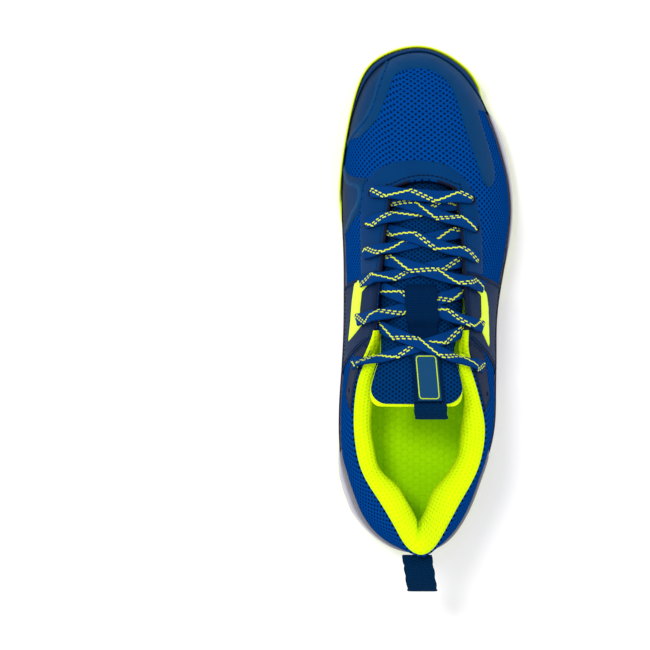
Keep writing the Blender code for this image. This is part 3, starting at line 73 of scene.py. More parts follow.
# Outer edge of the sole, seen from above: lateral side toe to heel, then medial side heel to toe.
SOLE_LATERAL = [
    (10, 155), (20, 149), (27, 142.5), (33.5, 131), (39, 119), (44.3, 107), (48.6, 92),
    (51, 78), (51.9, 66), (51.3, 50), (48.5, 34), (44.5, 18), (41, 0), (38.5, -20),
    (37.5, -40), (37.5, -60), (35.6, -80), (31.6, -97), (26, -113), (17.5, -127.5), (6, -137.6),
]
SOLE_MEDIAL = [
    (-22, -137), (-34.5, -128), (-43.5, -117), (-49, -105), (-51.4, -90), (-50.8, -75),
    (-47.5, -58), (-43.5, -38), (-41.5, -18), (-41.8, 2), (-44, 22), (-47.3, 42),
    (-50.2, 58), (-51.2, 71), (-50.4, 86), (-48.3, 101), (-45.7, 115), (-42.6, 128),
    (-38.6, 139.5), (-31.8, 149), (-20.5, 155.5),
]
# Widest line of the upper, seen from above.
UPPER_LATERAL = [
    (9, 150.5), (19, 143.5), (29, 131.5), (36.3, 118), (41, 106), (44.6, 94), (47.6, 82),
    (49.3, 70), (49.6, 58), (48.6, 47), (46.4, 30), (44.2, 17.5), (42.4, 6), (41.2, -8),
    (41.0, -25), (40.6, -45), (39.9, -65), (36.4, -82), (31.6, -96), (26.2, -111),
    (17.8, -126), (6, -136),
]
UPPER_MEDIAL = [
    (-21, -135), (-31.5, -127.5), (-39.2, -117), (-44, -105), (-47.6, -93), (-50, -80),
    (-50.6, -66), (-50.2, -50), (-48.8, -30), (-47.8, -8), (-47.6, 14), (-47.8, 36),
    (-48.6, 55), (-48.8, 70), (-48, 86), (-46, 101), (-43.2, 115), (-39.6, 127),
    (-34.6, 137.5), (-27, 146), (-16.5, 152),
]
# Throat edge and top line: (position on the edge ring, x, y, z); ring 0 is the toe, 0.5 the heel.
THROAT_LATERAL = [
    (140, 3.5), (120, 11.5), (100, 15.0), (80, 15.4), (68, 15.8), (45, 18.4), (25, 19.6),
    (8, 20.4), (-9, 21.0),
]
THROAT_MEDIAL = [
    (-9, -31.0), (8, -30.0), (25, -27.8), (45, -25.3), (68, -22.0), (80, -21.0), (100, -21.5),
    (120, -19.5), (140, -12.5),
]
TOPLINE_LATERAL = [
    (-20, 20.8, -20.0, 97.0), (-34, 25.0, -34.0, 90.5), (-49, 29.8, -49.0, 82.0),
    (-72, 33.2, -68.0, 76.0), (-90, 30.2, -86.0, 77.0), (-112, 19.6, -106.5, 82.5),
    (-128, 9.0, -125.0, 90.0), (-135, 3.6, -133.0, 94.5),
]
TOPLINE_MEDIAL = [
    (-135, -15.2, -131.5, 94.0), (-128, -20.4, -122.5, 89.5), (-112, -30.2, -106.0, 82.0),
    (-90, -40.4, -87.5, 76.0), (-72, -43.6, -70.0, 74.0), (-49, -43.4, -49.0, 80.5),
    (-34, -40.4, -34.0, 90.0), (-20, -34.6, -20.0, 97.0),
]
TOPLINE_HEEL = (-5.6, -137.6, 97.0)
# Inner edge of the padded collar at its fullest height, in the same order.
PAD_LATERAL = [
    (-20, 12.6, -20.0), (-34, 16.2, -34.5), (-49, 18.0, -50.0), (-72, 16.8, -72.0),
    (-90, 14.0, -84.5), (-112, 5.0, -95.0), (-128, -1.0, -106.0), (-135, -3.4, -112.0),
]
PAD_MEDIAL = [
    (-135, -8.8, -112.0), (-128, -11.0, -106.0), (-112, -17.0, -97.0), (-90, -27.5, -86.0),
    (-72, -31.0, -71.0), (-49, -31.2, -50.0), (-34, -30.6, -34.5), (-20, -27.4, -20.0),
]
PAD_HEEL = (-6.0, -117.0)
# Heights along the shoe: (y, z).
FEATHER_HEIGHT = [
    (-141, 27.0), (-100, 26.5), (-60, 25.0), (-20, 21.5), (20, 17.5), (60, 15.5), (100, 16.5),
    (130, 19.5), (155, 24.0),
]
TREAD_HEIGHT = [(-141, 3.0), (-128, 0.6), (-112, 0.0), (95, 0.0), (125, 2.6), (159, 10.5)]
CROWN_HEIGHT = [
    (154.2, 24.0), (153.0, 34.0), (149, 43.0), (142, 50.0), (132, 56.0), (118, 61.5),
    (100, 67.5), (80, 75.0), (60, 83.0), (30, 93.0), (0, 101.0), (-20, 103.0),
]
THROAT_HEIGHT = [(-9, 97.0), (8, 94.0), (25, 89.5), (45, 84.0), (68, 76.0), (80, 72.0)]

# Eyelets, front to back: (x, y) on the medial side and on the lateral side.
EYELETS_MEDIAL = [(-32, 69.6), (-34.6, 51.8), (-35.4, 33.9), (-37.3, 18), (-39.0, -4), (-41.2, -29)]
EYELETS_LATERAL = [(24.1, 65.4), (26.2, 49), (27.0, 31.7), (29.4, 15), (28.6, -8), (28.6, -31)]
SPARE_EYELETS = [(-45.2, -44.0), (33.6, -46.0)]


def natural_spline(knots, values):
    """A smooth curve through the points, flat outside them."""
    x = np.array(knots, float)
    y = np.array(values, float)
    count = len(x)
    h = np.diff(x)
    matrix = np.eye(count)
    right = np.zeros(count)
    for i in range(1, count - 1):
        matrix[i, i - 1] = h[i - 1]
        matrix[i, i] = 2 * (h[i - 1] + h[i])
        matrix[i, i + 1] = h[i]
        right[i] = 6 * ((y[i + 1] - y[i]) / h[i] - (y[i] - y[i - 1]) / h[i - 1])
    bend = np.linalg.solve(matrix, right)

    def curve(at):
        at = np.clip(np.asarray(at, float), x[0], x[-1])
        i = np.clip(np.searchsorted(x, at) - 1, 0, count - 2)
        u = at - x[i]
        slope = (y[i + 1] - y[i]) / h[i] - h[i] * (2 * bend[i] + bend[i + 1]) / 6
        return y[i] + slope * u + bend[i] * u**2 / 2 + (bend[i + 1] - bend[i]) * u**3 / (6 * h[i])

    return curve


def along(points):
    """A monotone curve through (y, value) points, without overshoot."""
    points = sorted(points)
    x = np.array([p[0] for p in points], float)
    y = np.array([p[1] for p in points], float)
    h = np.diff(x)
    d = np.diff(y) / h
    m = np.zeros(len(x))
    m[0] = d[0]
    m[-1] = d[-1]
    for i in range(1, len(x) - 1):
        if d[i - 1] * d[i] > 0:
            a = 2 * h[i] + h[i - 1]
            b = h[i] + 2 * h[i - 1]
            m[i] = (a + b) / (a / d[i - 1] + b / d[i])

    def curve(at):
        at = np.clip(np.asarray(at, float), x[0], x[-1])
        i = np.clip(np.searchsorted(x, at) - 1, 0, len(x) - 2)
        t = (at - x[i]) / h[i]
        return (
            y[i] * (2 * t**3 - 3 * t**2 + 1)
            + h[i] * m[i] * (t**3 - 2 * t**2 + t)
            + y[i + 1] * (3 * t**2 - 2 * t**3)
            + h[i] * m[i + 1] * (t**3 - t**2)
        )

    return curve


def smooth_step(low, high, at):
    t = np.clip((np.asarray(at, float) - low) / (high - low), 0, 1)
    return t * t * (3 - 2 * t)


def run_length(points):
    """Distance along the line to each of its points."""
    return np.concatenate([[0], np.cumsum(np.linalg.norm(np.diff(points, axis=0), axis=1))])


def ring_spline(turns, values):
    """A periodic curve over one turn of the edge ring."""
    turns = np.array(turns)
    values = np.array(values)
    return natural_spline(
        np.concatenate([turns - 2 * math.pi, turns, turns + 2 * math.pi]), np.tile(values, 3)
    )


def turn_of(y, toe, heel, medial):
    """Angle on the edge ring of a point at this y: 0 is the toe, pi the heel."""
    turn = math.acos(max(-1, min(1, (y - (toe + heel) / 2) / ((toe - heel) / 2))))
    return 2 * math.pi - turn if medial else turn


def outline(toe, heel, lateral, medial):
    """The plan curve of an edge ring, as a function of its angle."""
    turns = [0.0] + [turn_of(y, toe[1], heel[1], False) for _, y in lateral]
    turns += [math.pi] + [turn_of(y, toe[1], heel[1], True) for _, y in medial]
    x_values = [toe[0]] + [p[0] for p in lateral] + [heel[0]] + [p[0] for p in medial]
    x_curve = ring_spline(turns, x_values)
    middle = (toe[1] + heel[1]) / 2
    reach = (toe[1] - heel[1]) / 2

    def curve(turn):
        return x_curve(np.asarray(turn) % (2 * math.pi)), middle + reach * np.cos(turn)

    return curve


def sole_middle_x(y):
    """The sole's centre line, seen from above."""
    return np.interp(y, [-140, -60, 60, 158], [-8, -5, 0, -5])


sole_edge = outline(SOLE_TOE, SOLE_HEEL, SOLE_LATERAL, SOLE_MEDIAL)
upper_edge = outline(UPPER_TOE, UPPER_HEEL, UPPER_LATERAL, UPPER_MEDIAL)
feather_height = along(FEATHER_HEIGHT)
tread_height = along(TREAD_HEIGHT)


def upper_turn(y, medial):
    return turn_of(y, UPPER_TOE[1], UPPER_HEEL[1], medial)


def ring_of_edge():
    """Splines of x, y and z of the throat edge and top line over the edge ring."""
    rows = [(0.0, UPPER_TOE[0], UPPER_TOE[1], 24.0)]
    throat_height = along(THROAT_HEIGHT)
    for y, x in THROAT_LATERAL:
        rows.append((upper_turn(y, False), x, y, float(throat_height(y))))
    for at, x, y, z in TOPLINE_LATERAL:
        rows.append((upper_turn(at, False), x, y, z))
    rows.append((math.pi,) + TOPLINE_HEEL)
    for at, x, y, z in TOPLINE_MEDIAL:
        rows.append((upper_turn(at, True), x, y, z))
    for y, x in THROAT_MEDIAL:
        rows.append((upper_turn(y, True), x, y, float(throat_height(y))))
    turns = [row[0] for row in rows]
    return [ring_spline(turns, [row[k] for row in rows]) for k in (1, 2, 3)]


def ring_of_pad():
    rows = [(upper_turn(at, False), x, y) for at, x, y in PAD_LATERAL]
    rows.append((math.pi,) + PAD_HEEL)
    rows += [(upper_turn(at, True), x, y) for at, x, y in PAD_MEDIAL]
    turns = [row[0] for row in rows]
    return [natural_spline(turns, [row[k] for row in rows]) for k in (1, 2)]


edge_x, edge_y, edge_z = ring_of_edge()
pad_x, pad_y = ring_of_pad()
crown_turn = natural_spline(
    [upper_turn(y, False) for y, _ in CROWN_HEIGHT], [z for _, z in CROWN_HEIGHT]
)


def slice_of(turn):
    """Lateral and medial widest points and throat edges of the cross slice at this angle."""
    turn = np.asarray(turn, float)
    lateral, y = upper_edge(turn)
    medial, _ = upper_edge(2 * math.pi - turn)
    return lateral, medial, y, edge_x(turn), edge_x(2 * math.pi - turn)


def toe_height(share, turn, y):
    """Height of the rounded toe-box section at a share of the half width, 0 at the middle."""
    base = feather_height(y)
    top = crown_turn(turn)
    return base + (top - base) * np.clip(1 - np.abs(share) ** 2.4, 0, 1) ** (1 / 2.1)


def wall(turn, v):
    """Outer face of the knit: v is 0 at the sole and 1 at the throat edge or top line."""
    turn, v = np.broadcast_arrays(np.asarray(turn, float), np.asarray(v, float))
    medial = turn > math.pi
    folded = np.where(medial, 2 * math.pi - turn, turn)
    wide_x, wide_y = upper_edge(turn)
    base = feather_height(wide_y)
    top_x = edge_x(turn)
    rear = smooth_step(1.62, 1.80, folded)
    top_y = wide_y + (edge_y(turn) - wide_y) * rear
    lean = v**1.7
    rear_x = wide_x + (top_x - wide_x) * lean
    rear_y = wide_y + (top_y - wide_y) * lean
    rear_z = base + (edge_z(turn) - base) * v
    # Round toe-box section, from the widest line to the throat edge.
    lateral_x, medial_x, _, _, _ = slice_of(folded)
    middle = (lateral_x + medial_x) / 2
    half = np.maximum((lateral_x - medial_x) / 2, 1e-6)
    edge_share = (top_x - middle) / half
    side = np.where(medial, -1.0, 1.0)
    share = side * (1 - (1 - np.clip(side * edge_share, 0.02, 0.98)) * v**2.1)
    toe_x = middle + half * share
    toe_z = toe_height(share, folded, wide_y)
    toe = smooth_step(10, 62, wide_y)
    x = toe * toe_x + (1 - toe) * rear_x
    y = toe * wide_y + (1 - toe) * rear_y
    z = toe * toe_z + (1 - toe) * rear_z
    # The lower edge tucks in under the widest line at the waist and heel.
    tuck = 2.2 * (1 - smooth_step(20, 70, wide_y)) * np.clip(1 - v / 0.2, 0, 1) ** 2
    ahead_x, ahead_y = upper_edge(turn + 0.01)
    behind_x, behind_y = upper_edge(turn - 0.01)
    run_x = ahead_x - behind_x
    run_y = ahead_y - behind_y
    run = np.maximum(np.hypot(run_x, run_y), 1e-9)
    return np.stack([x + tuck * run_y / run, y - tuck * run_x / run, z], -1)


def crown(turn, across):
    """Top face between the throat edges: across runs from 0 at the lateral edge to 1 at the medial edge."""
    turn, across = np.broadcast_arrays(np.asarray(turn, float), np.asarray(across, float))
    lateral_x, medial_x, y, lateral_edge, medial_edge = slice_of(turn)
    middle = (lateral_x + medial_x) / 2
    half = np.maximum((lateral_x - medial_x) / 2, 1e-6)
    x = lateral_edge + (medial_edge - lateral_edge) * across
    toe_z = toe_height((x - middle) / half, turn, y)
    lateral_z = edge_z(turn)
    medial_z = edge_z(2 * math.pi - turn)
    rear_z = lateral_z + (medial_z - lateral_z) * across + 4 * (1 - (2 * across - 1) ** 2)
    toe = smooth_step(10, 62, y)
    return np.stack([x, y, toe * toe_z + (1 - toe) * rear_z], -1)


def even_turns(edge, start, stop, length):
    """Angles between start and stop whose points lie about one length apart along the edge."""
    fine = np.linspace(start, stop, 1500)
    lateral = np.stack(edge(fine), -1)
    medial = np.stack(edge(2 * math.pi - fine), -1)
    steps = np.linalg.norm(np.diff(lateral, axis=0), axis=1)
    steps = (steps + np.linalg.norm(np.diff(medial, axis=0), axis=1)) / 2
    reach = np.concatenate([[0], np.cumsum(steps)])
    count = max(2, round(reach[-1] / length))
    return np.interp(np.linspace(0, reach[-1], count + 1), reach, fine)


def polygon_distance(x, y, corners):
    """Distance to the edge of a plan polygon, positive inside."""
    corners = np.array(corners, float)
    best = np.full(np.shape(x), 1e9)
    crossings = np.zeros(np.shape(x), int)
    for (ax, ay), (bx, by) in zip(corners, np.roll(corners, -1, axis=0)):
        length = (bx - ax) ** 2 + (by - ay) ** 2
        t = np.clip(((x - ax) * (bx - ax) + (y - ay) * (by - ay)) / length, 0, 1)
        best = np.minimum(best, np.hypot(x - ax - t * (bx - ax), y - ay - t * (by - ay)))
        if ay != by:
            hit = ((y >= ay) != (y >= by)) & (x < ax + (y - ay) * (bx - ax) / (by - ay))
            crossings += hit
    return np.where(crossings % 2 == 1, best, -best)


def seat(x, y, medial):
    """Point and outward normal of the upper's outer face at a plan position beside the throat."""
    turn = turn_of(y, UPPER_TOE[1], UPPER_HEEL[1], medial)
    line = wall(turn, np.linspace(0.3, 1, 71))
    order = np.argsort(line[:, 0])
    v = float(np.interp(x, line[order, 0], np.linspace(0.3, 1, 71)[order]))
    point = wall(turn, v)
    up = wall(turn, min(v + 0.02, 1)) - wall(turn, v - 0.02)
    run = wall(turn + 0.02, v) - wall(turn - 0.02, v)
    normal = np.cross(run, up)
    normal /= np.linalg.norm(normal)
    return point, normal if normal[2] > 0 else -normal


# Padded collar. A section is drawn in reach from the wall and height, then carried around the heel.


def collar_frame(turn):
    """Inward direction and depth of the pad at this angle."""
    start = np.array([float(edge_x(turn)), float(edge_y(turn))])
    reach = np.array([float(pad_x(turn)), float(pad_y(turn))]) - start
    depth = float(np.linalg.norm(reach))
    return reach / depth, depth - 1.5


def collar_point(turn, reach, height):
    """A point inside the wall: 1.5 behind its face, then further in along the pad direction."""
    base = float(feather_height(upper_edge(turn)[1]))
    top = float(edge_z(turn))
    v = min(1.0, (height - base) / (top - base))
    face = wall(turn, v)
    ahead = wall(turn + 0.02, v)
    behind = wall(turn - 0.02, v)
    run = (ahead - behind)[:2]
    run /= np.linalg.norm(run)
    inward = np.array([-run[1], run[0]])
    direction, _ = collar_frame(turn)
    if inward @ direction < 0:
        inward = -inward
    x, y = face[:2] + inward * 1.5 + direction * reach
    return np.array([x, y, height])


def pad_profile(turn):
    """Visible face of the collar lining: from the top line over the pad and down to the board."""
    _, depth = collar_frame(turn)
    top = float(edge_z(turn))
    base = float(feather_height(upper_edge(turn)[1]))
    low = min(depth, max(4.4, 0.2 * depth))
    full = float(smooth_step(6, 12, depth))
    return np.array([
        (0.1, top - 1.6), (0.5, top + 0.5 + 0.4 * full), (0.30 * depth, top + 1.3 + 1.5 * full),
        (0.62 * depth, top + 0.4 + 1.8 * full), (0.9 * depth, top - 2.8 + 0.8 * full),
        (depth, top - 8.0), (max(0.84 * depth, low), top - 16.0),
        (max(0.45 * depth, low), top - 25.0), (low, top - 33.0), (min(low, 3.9), base + 2.3),
    ])


# Tongue: a padded leaf under the throat, then rising free above the collar.
TONGUE_FREE = [(-52, 118.5), (-48, 117.0), (-34, 110.5), (-20, 103.0)]


def throat_level(y):
    """Mean height of the two throat edges."""
    lateral = wall(upper_turn(y, False), 1.0)
    medial = wall(upper_turn(y, True), 1.0)
    return float(lateral[2] + medial[2]) / 2


TONGUE_HEIGHT = TONGUE_FREE + [(y, throat_level(y) + rise) for y, rise in (
    (-9, 0.6), (8, 0.2), (25, 0.0), (45, -0.4), (60, -1.4), (68, -2.6), (80, -6.5),
)]
TONGUE_MIDDLE = [
    (-50, -8.2), (-34, -7.6), (-20, -7.0), (-9, -5.4), (8, -4.8), (25, -4.1), (45, -3.4), (80, -2.6),
]
TONGUE_HALF = [
    (-50, 25.4), (-43, 25.8), (-34, 24.0), (-22, 20.8), (-12, 21.8), (-5, 23.2), (5, 24.0), (25, 23.2),
    (45, 21.9), (60, 19.2), (80, 15.0),
]
TONGUE_DROP = [(-50, 7.0), (-34, 7.2), (-12, 9.4), (10, 11.0), (30, 11.2), (60, 9.5), (80, 6.0)]
tongue_height = along(TONGUE_HEIGHT)
tongue_middle = along(TONGUE_MIDDLE)
tongue_half = along(TONGUE_HALF)
tongue_drop = along(TONGUE_DROP)


def tongue_point(x, y):
    """Height of the tongue's outer face."""
    share = (x - tongue_middle(y)) / tongue_half(y)
    return tongue_height(y) - tongue_drop(y) * np.abs(share) ** 3


def grid_normals(face):
    along_rows = np.gradient(face, axis=0)
    along_columns = np.gradient(face, axis=1)
    normal = np.cross(along_rows, along_columns)
    normal /= np.linalg.norm(normal, axis=-1)[..., None]
    return normal * np.sign(normal[..., 2:3].mean())


# Webbing strip down the tongue: it bridges the fourth lace crossing, then carries the label.
KEEPER_CLEARANCE = 6.2
STRIP_GAP = 0.6
STRIP_FRONT = 16.0
STRIP_BACK = -49.0


def strip_middle(y):
    return np.interp(y, [-60, 6], [-0.4, -5.2])


def strip_lift(y):
    """Clearance under the webbing: it stands off over the lace crossing that it holds down."""
    return STRIP_GAP + (KEEPER_CLEARANCE - STRIP_GAP) * smooth_step(16, 10.5, y) * smooth_step(-9.5, -4.0, y)


loop_spine = [
    (-50.4, 120.4), (-52.4, 121.0), (-54.8, 120.8), (-57.0, 119.4), (-58.4, 117.0), (-58.6, 114.4),
    (-57.4, 112.2), (-55.4, 111.2), (-53.6, 111.4),
]

tab_spine = [
    (-139.6, 88.6), (-142.5, 89.6), (-146.0, 89.6), (-150.0, 88.6), (-154.0, 86.6), (-157.2, 83.4),
    (-158.2, 79.6), (-156.8, 76.2), (-153.4, 74.8), (-149.6, 75.8), (-146.4, 78.4), (-143.6, 81.4),
    (-141.0, 84.2),
]

# Lace: one flat band. A straight bar joins the front eyelets; both ends then zigzag to the last pair.
UNDER = 3.76
OVER = 2.7
OVER_TONGUE = 1.6
OVER_STRIP = 3.6
CROSSING_STEP = 1.6


def eyelet_seats():
    rows = []
    for medial_at, lateral_at in zip(EYELETS_MEDIAL, EYELETS_LATERAL):
        rows.append({"m": seat(*medial_at, True), "l": seat(*lateral_at, False)})
    return rows


SEATS = eyelet_seats()


def edge_crossing(start, stop):
    """The plan point where a line leaves the throat, and the height of the edge there."""
    medial = start[0] < stop[0]
    best = None
    for share in np.linspace(0, 1, 201):
        x, y = start[:2] + (stop[:2] - start[:2]) * share
        turn = upper_turn(y, medial)
        beyond = (x - float(edge_x(turn))) * (1 if medial else -1)
        if beyond > 0:
            best = (x, y, float(wall(turn, 1.0)[2]))
            break
    return np.array(best)


def tongue_normal(x, y):
    step = 0.5
    across = (tongue_point(x + step, y) - tongue_point(x - step, y)) / (2 * step)
    along_y = (tongue_point(x, y + step) - tongue_point(x, y - step)) / (2 * step)
    normal = np.array([-float(across), -float(along_y), 1.0])
    return normal / np.linalg.norm(normal)


def along_wall(edge, at, medial, offset, lift):
    """Points on the wall from the throat edge to an eyelet, held off its face, with the wall's normals."""
    rows = []
    for share in (0.02, 0.3, 0.65):
        x, y = edge[:2] + (at[:2] - edge[:2]) * share
        point, normal = seat(x, y, medial)
        rows.append((point + normal * offset + np.array([0, 0, lift * (1 - share)]), normal))
    return rows


def span_points(row, side, upper_strand, lift):
    """From under an eyelet, out below the throat edge, over the tongue, to above the next eyelet."""
    medial = side == "m"
    start, start_normal = SEATS[row][side]
    stop, stop_normal = SEATS[row + 1]["l" if medial else "m"]
    leave = edge_crossing(start, stop)
    arrive = edge_crossing(stop, start)
    # The last crossing rises over the front ends of the padded collar.
    clear = 5.7 if row == 4 else 0.8
    rows = [(start - start_normal * UNDER, start_normal)]
    rows += along_wall(leave, start, medial, -UNDER, 0.0)[1::-1]
    leave_z = rows[-1][0][2]
    onto = along_wall(arrive, stop, not medial, OVER, clear)
    for share in (0.14, 0.26, 0.38, 0.5, 0.62, 0.74, 0.86):
        x, y, _ = leave + (arrive - leave) * share
        level = lift + (CROSSING_STEP if upper_strand else 0.0)
        level += 0.8 * smooth_step(0.66, 0.95, share) + 0.7 * smooth_step(0.40, 0.05, share)
        z = float(tongue_point(x, y)) + level
        if share < 0.2:
            z = 0.56 * z + 0.44 * leave_z
        if share > 0.8:
            z = 0.3 * z + 0.7 * onto[0][0][2]
        rows.append((np.array([x, y, z]), tongue_normal(x, y)))
    rows += onto
    rows.append((stop + stop_normal * OVER, stop_normal))
    heading = stop - start
    heading[2] = 0
    return [np.concatenate([point, width_way(normal, heading)]) for point, normal in rows]


def width_way(normal, heading):
    """The band's width direction on a surface: square to its heading, always towards +Y."""
    way = np.cross(normal, heading)
    way /= np.linalg.norm(way)
    return way if way[1] > 0 else -way


def through(row, side):
    """Points down through an eyelet, from above it to below it."""
    at, normal = SEATS[row][side]
    way = np.array([0.0, 1.0, 0.0])
    return [np.concatenate([at + normal * rise, way]) for rise in (0.9, -0.9, -2.2)]


def lace_path():
    """Points and width directions of the whole lace, from one tucked end to the other."""
    start, start_normal = SEATS[0]["m"]
    stop, stop_normal = SEATS[0]["l"]
    left = edge_crossing(start, stop)
    right = edge_crossing(stop, start)
    rows = [(start + start_normal * OVER, start_normal)]
    rows += along_wall(left, start, True, OVER, 0.0)[::-1]
    for share in (0.2, 0.4, 0.6, 0.8):
        x, y, z = left + (right - left) * share
        point = np.array([x, y, z + OVER + 2.4 * math.sin(math.pi * share)])
        rows.append((point, np.array([0.0, 0.25, 1.0])))
    rows += along_wall(right, stop, False, OVER, 0.0)
    rows.append((stop + stop_normal * OVER, stop_normal))
    heading = stop - start
    bar = [np.concatenate([point, width_way(normal, heading)]) for point, normal in rows]

    def strand(side):
        points = []
        for row in range(5):
            points += through(row, side)
            lift = OVER_STRIP if row == 4 else OVER_TONGUE
            points += span_points(row, side, side == "m", lift)
            side = "l" if side == "m" else "m"
        at, normal = SEATS[5][side]
        points += through(5, side)
        way = np.array([0.0, 1.0, 0.0])
        points += [np.concatenate([at - normal * deep, way]) for deep in (6.0, 10.0, 14.0)]
        out = 1.0 if side == "l" else -1.0
        for x, y, z in ((18.0, 3.0, -8.0), (18.5, 8.0, -19.0), (17.5, 15.0, -29.0), (15.0, 22.0, -37.0)):
            points.append(np.concatenate([[at[0] - out * x, at[1] + y, at[2] + z], way]))
        return points

    return strand("m")[::-1] + bar + strand("l")


def smooth_path(rows, length):
    """Evenly spaced points, with their width directions, on a smooth curve through the given ones."""
    rows = np.array(rows)
    steps = np.linalg.norm(np.diff(rows[:, :3], axis=0), axis=1)
    at = np.concatenate([[0], np.cumsum(np.sqrt(steps))])
    curves = [natural_spline(at, rows[:, k]) for k in range(6)]
    fine = np.linspace(0, at[-1], 4000)
    line = np.stack([curve(fine) for curve in curves[:3]], -1)
    run = run_length(line)
    count = int(run[-1] / length)
    even = np.interp(np.linspace(0, run[-1], count + 1), run, fine)
    values = np.stack([curve(even) for curve in curves], -1)
    return values[:, :3], values[:, 3:], run[-1]


# ---------------------------------------------------------------- fine surface of the upper
FINE_CELL = 1.35
FINE_ROWS = 50
FINE_CROWN = 46


def fine_surface():
    """The knit's outer face as one welded fine mesh: points, normals, triangles and per-corner data."""
    collar = upper_turn(COLLAR_FRONT, False)
    front = even_turns(upper_edge, 0, collar, FINE_CELL)
    rear = even_turns(upper_edge, collar, math.pi, FINE_CELL)
    shares = np.linspace(0, 1, FINE_ROWS + 1)
    across = np.linspace(0, 1, FINE_CROWN + 1)
    lateral = wall(front[:, None], shares[None, :])
    medial = wall(2 * math.pi - front[:, None], shares[None, :])
    top = crown(front[:, None], across[None, :])
    grid = np.concatenate([lateral, top[:, 1:-1], medial[:, ::-1]], axis=1)
    height = np.concatenate(
        [shares, 1 + np.minimum(across, 1 - across)[1:-1] * 2, shares[::-1]]
    )
    turn = np.repeat(front[:, None], grid.shape[1], axis=1)
    turn[:, -(FINE_ROWS + 1):] = 2 * math.pi - turn[:, -(FINE_ROWS + 1):]
    steps = np.linalg.norm(np.diff(grid, axis=1), axis=2)
    reach = np.concatenate([np.zeros((len(front), 1)), np.cumsum(steps, axis=1)], axis=1)
    centre = FINE_ROWS + FINE_CROWN // 2
    a = reach - reach[:, centre:centre + 1]
    rows = np.linalg.norm(np.diff(grid, axis=0), axis=2)
    b = np.concatenate([np.cumsum(rows[::-1], axis=0)[::-1], np.zeros((1, grid.shape[1]))], axis=0)
    blocks = [(grid, a, b, turn, np.broadcast_to(height, a.shape))]
    for sign, edge_column in ((1, FINE_ROWS), (-1, -FINE_ROWS - 1)):
        turns = rear if sign > 0 else 2 * math.pi - rear
        side = wall(turns[:, None], shares[None, :])
        down = np.linalg.norm(np.diff(side, axis=1), axis=2)[:, ::-1]
        depth = np.concatenate([np.zeros((len(rear), 1)), np.cumsum(down, axis=1)], axis=1)[:, ::-1]
        behind = np.linalg.norm(np.diff(side, axis=0), axis=2)
        behind = -np.concatenate([np.zeros((1, FINE_ROWS + 1)), np.cumsum(behind, axis=0)], axis=0)
        levels = np.broadcast_to(shares, depth.shape)
        turns = np.repeat(turns[:, None], FINE_ROWS + 1, axis=1)
        blocks.append((side, a[-1, edge_column] - sign * depth * 0.55, behind, turns, levels))
    points = np.concatenate([block[0].reshape(-1, 3) for block in blocks])
    data = [np.concatenate([block[k].ravel() for block in blocks]) for k in (1, 2, 3, 4)]
    quads = []
    start = 0
    for number, block in enumerate(blocks):
        n, m = block[1].shape
        index = start + np.arange(n * m).reshape(n, m)
        quad = np.stack([index[:-1, :-1], index[:-1, 1:], index[1:, 1:], index[1:, :-1]], -1)
        quads.append((quad if number < 2 else quad[..., ::-1]).reshape(-1, 4))
        start += n * m
    quads = np.concatenate(quads)
    _, first, inverse = np.unique(np.round(points, 3), axis=0, return_index=True, return_inverse=True)
    inverse = inverse.ravel()
    faces = inverse[quads]
    faces = np.concatenate([faces[:, [0, 1, 2]], faces[:, [0, 2, 3]]])
    whole = (faces[:, 0] != faces[:, 1]) & (faces[:, 1] != faces[:, 2]) & (faces[:, 0] != faces[:, 2])
    faces = faces[whole]
    points = points[first]
    data = [values[first] for values in data]
    corners = points[faces]
    areas = np.cross(corners[:, 1] - corners[:, 0], corners[:, 2] - corners[:, 0])
    normals = np.zeros_like(points)
    for k in range(3):
        np.add.at(normals, faces[:, k], areas)
    normals /= np.maximum(np.linalg.norm(normals, axis=1), 1e-9)[:, None]
    if np.median(np.sum(normals * (points - np.array([-4, 10, 40])), axis=1)) < 0:
        normals = -normals
        faces = faces[:, ::-1]
    return points, normals, faces, data


POINTS, NORMALS, FACES, (FLOW_A, FLOW_B, TURNS, HEIGHTS) = fine_surface()
ON_MEDIAL = TURNS > math.pi
SIDES = (("medial", True), ("lateral", False))
X, Y, Z = POINTS.T


# ---------------------------------------------------------------- meshes
def make_mesh(name, points, faces, uv=None, attributes=None, smooth=True):
    """A mesh object from millimetre points; uv is one pair per point, in millimetres."""
    mesh = bpy.data.meshes.new(name)
    mesh.from_pydata((np.asarray(points) / 1000).tolist(), [], [list(map(int, f)) for f in faces])
    loops = np.zeros(len(mesh.loops), int)
    mesh.loops.foreach_get("vertex_index", loops)
    if uv is not None:
        layer_uv = mesh.uv_layers.new(name="flow")
        layer_uv.data.foreach_set("uv", np.asarray(uv, float)[loops].ravel())
    for key, values in (attributes or {}).items():
        attribute = mesh.attributes.new(key, "FLOAT", "POINT")
        attribute.data.foreach_set("value", np.asarray(values, np.float32))
    if smooth:
        mesh.polygons.foreach_set("use_smooth", [True] * len(mesh.polygons))
    mesh.update()
    item = bpy.data.objects.new(name, mesh)
    bpy.context.scene.collection.objects.link(item)
    return item


def place(item, material, body, nodes=()):
    """Gives a piece its material and the body it moves with; nodes are the CAD nodes it stands for."""
    item.data.materials.append(material)
    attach(item, body)
    if nodes:
        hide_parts(*nodes)
    return item


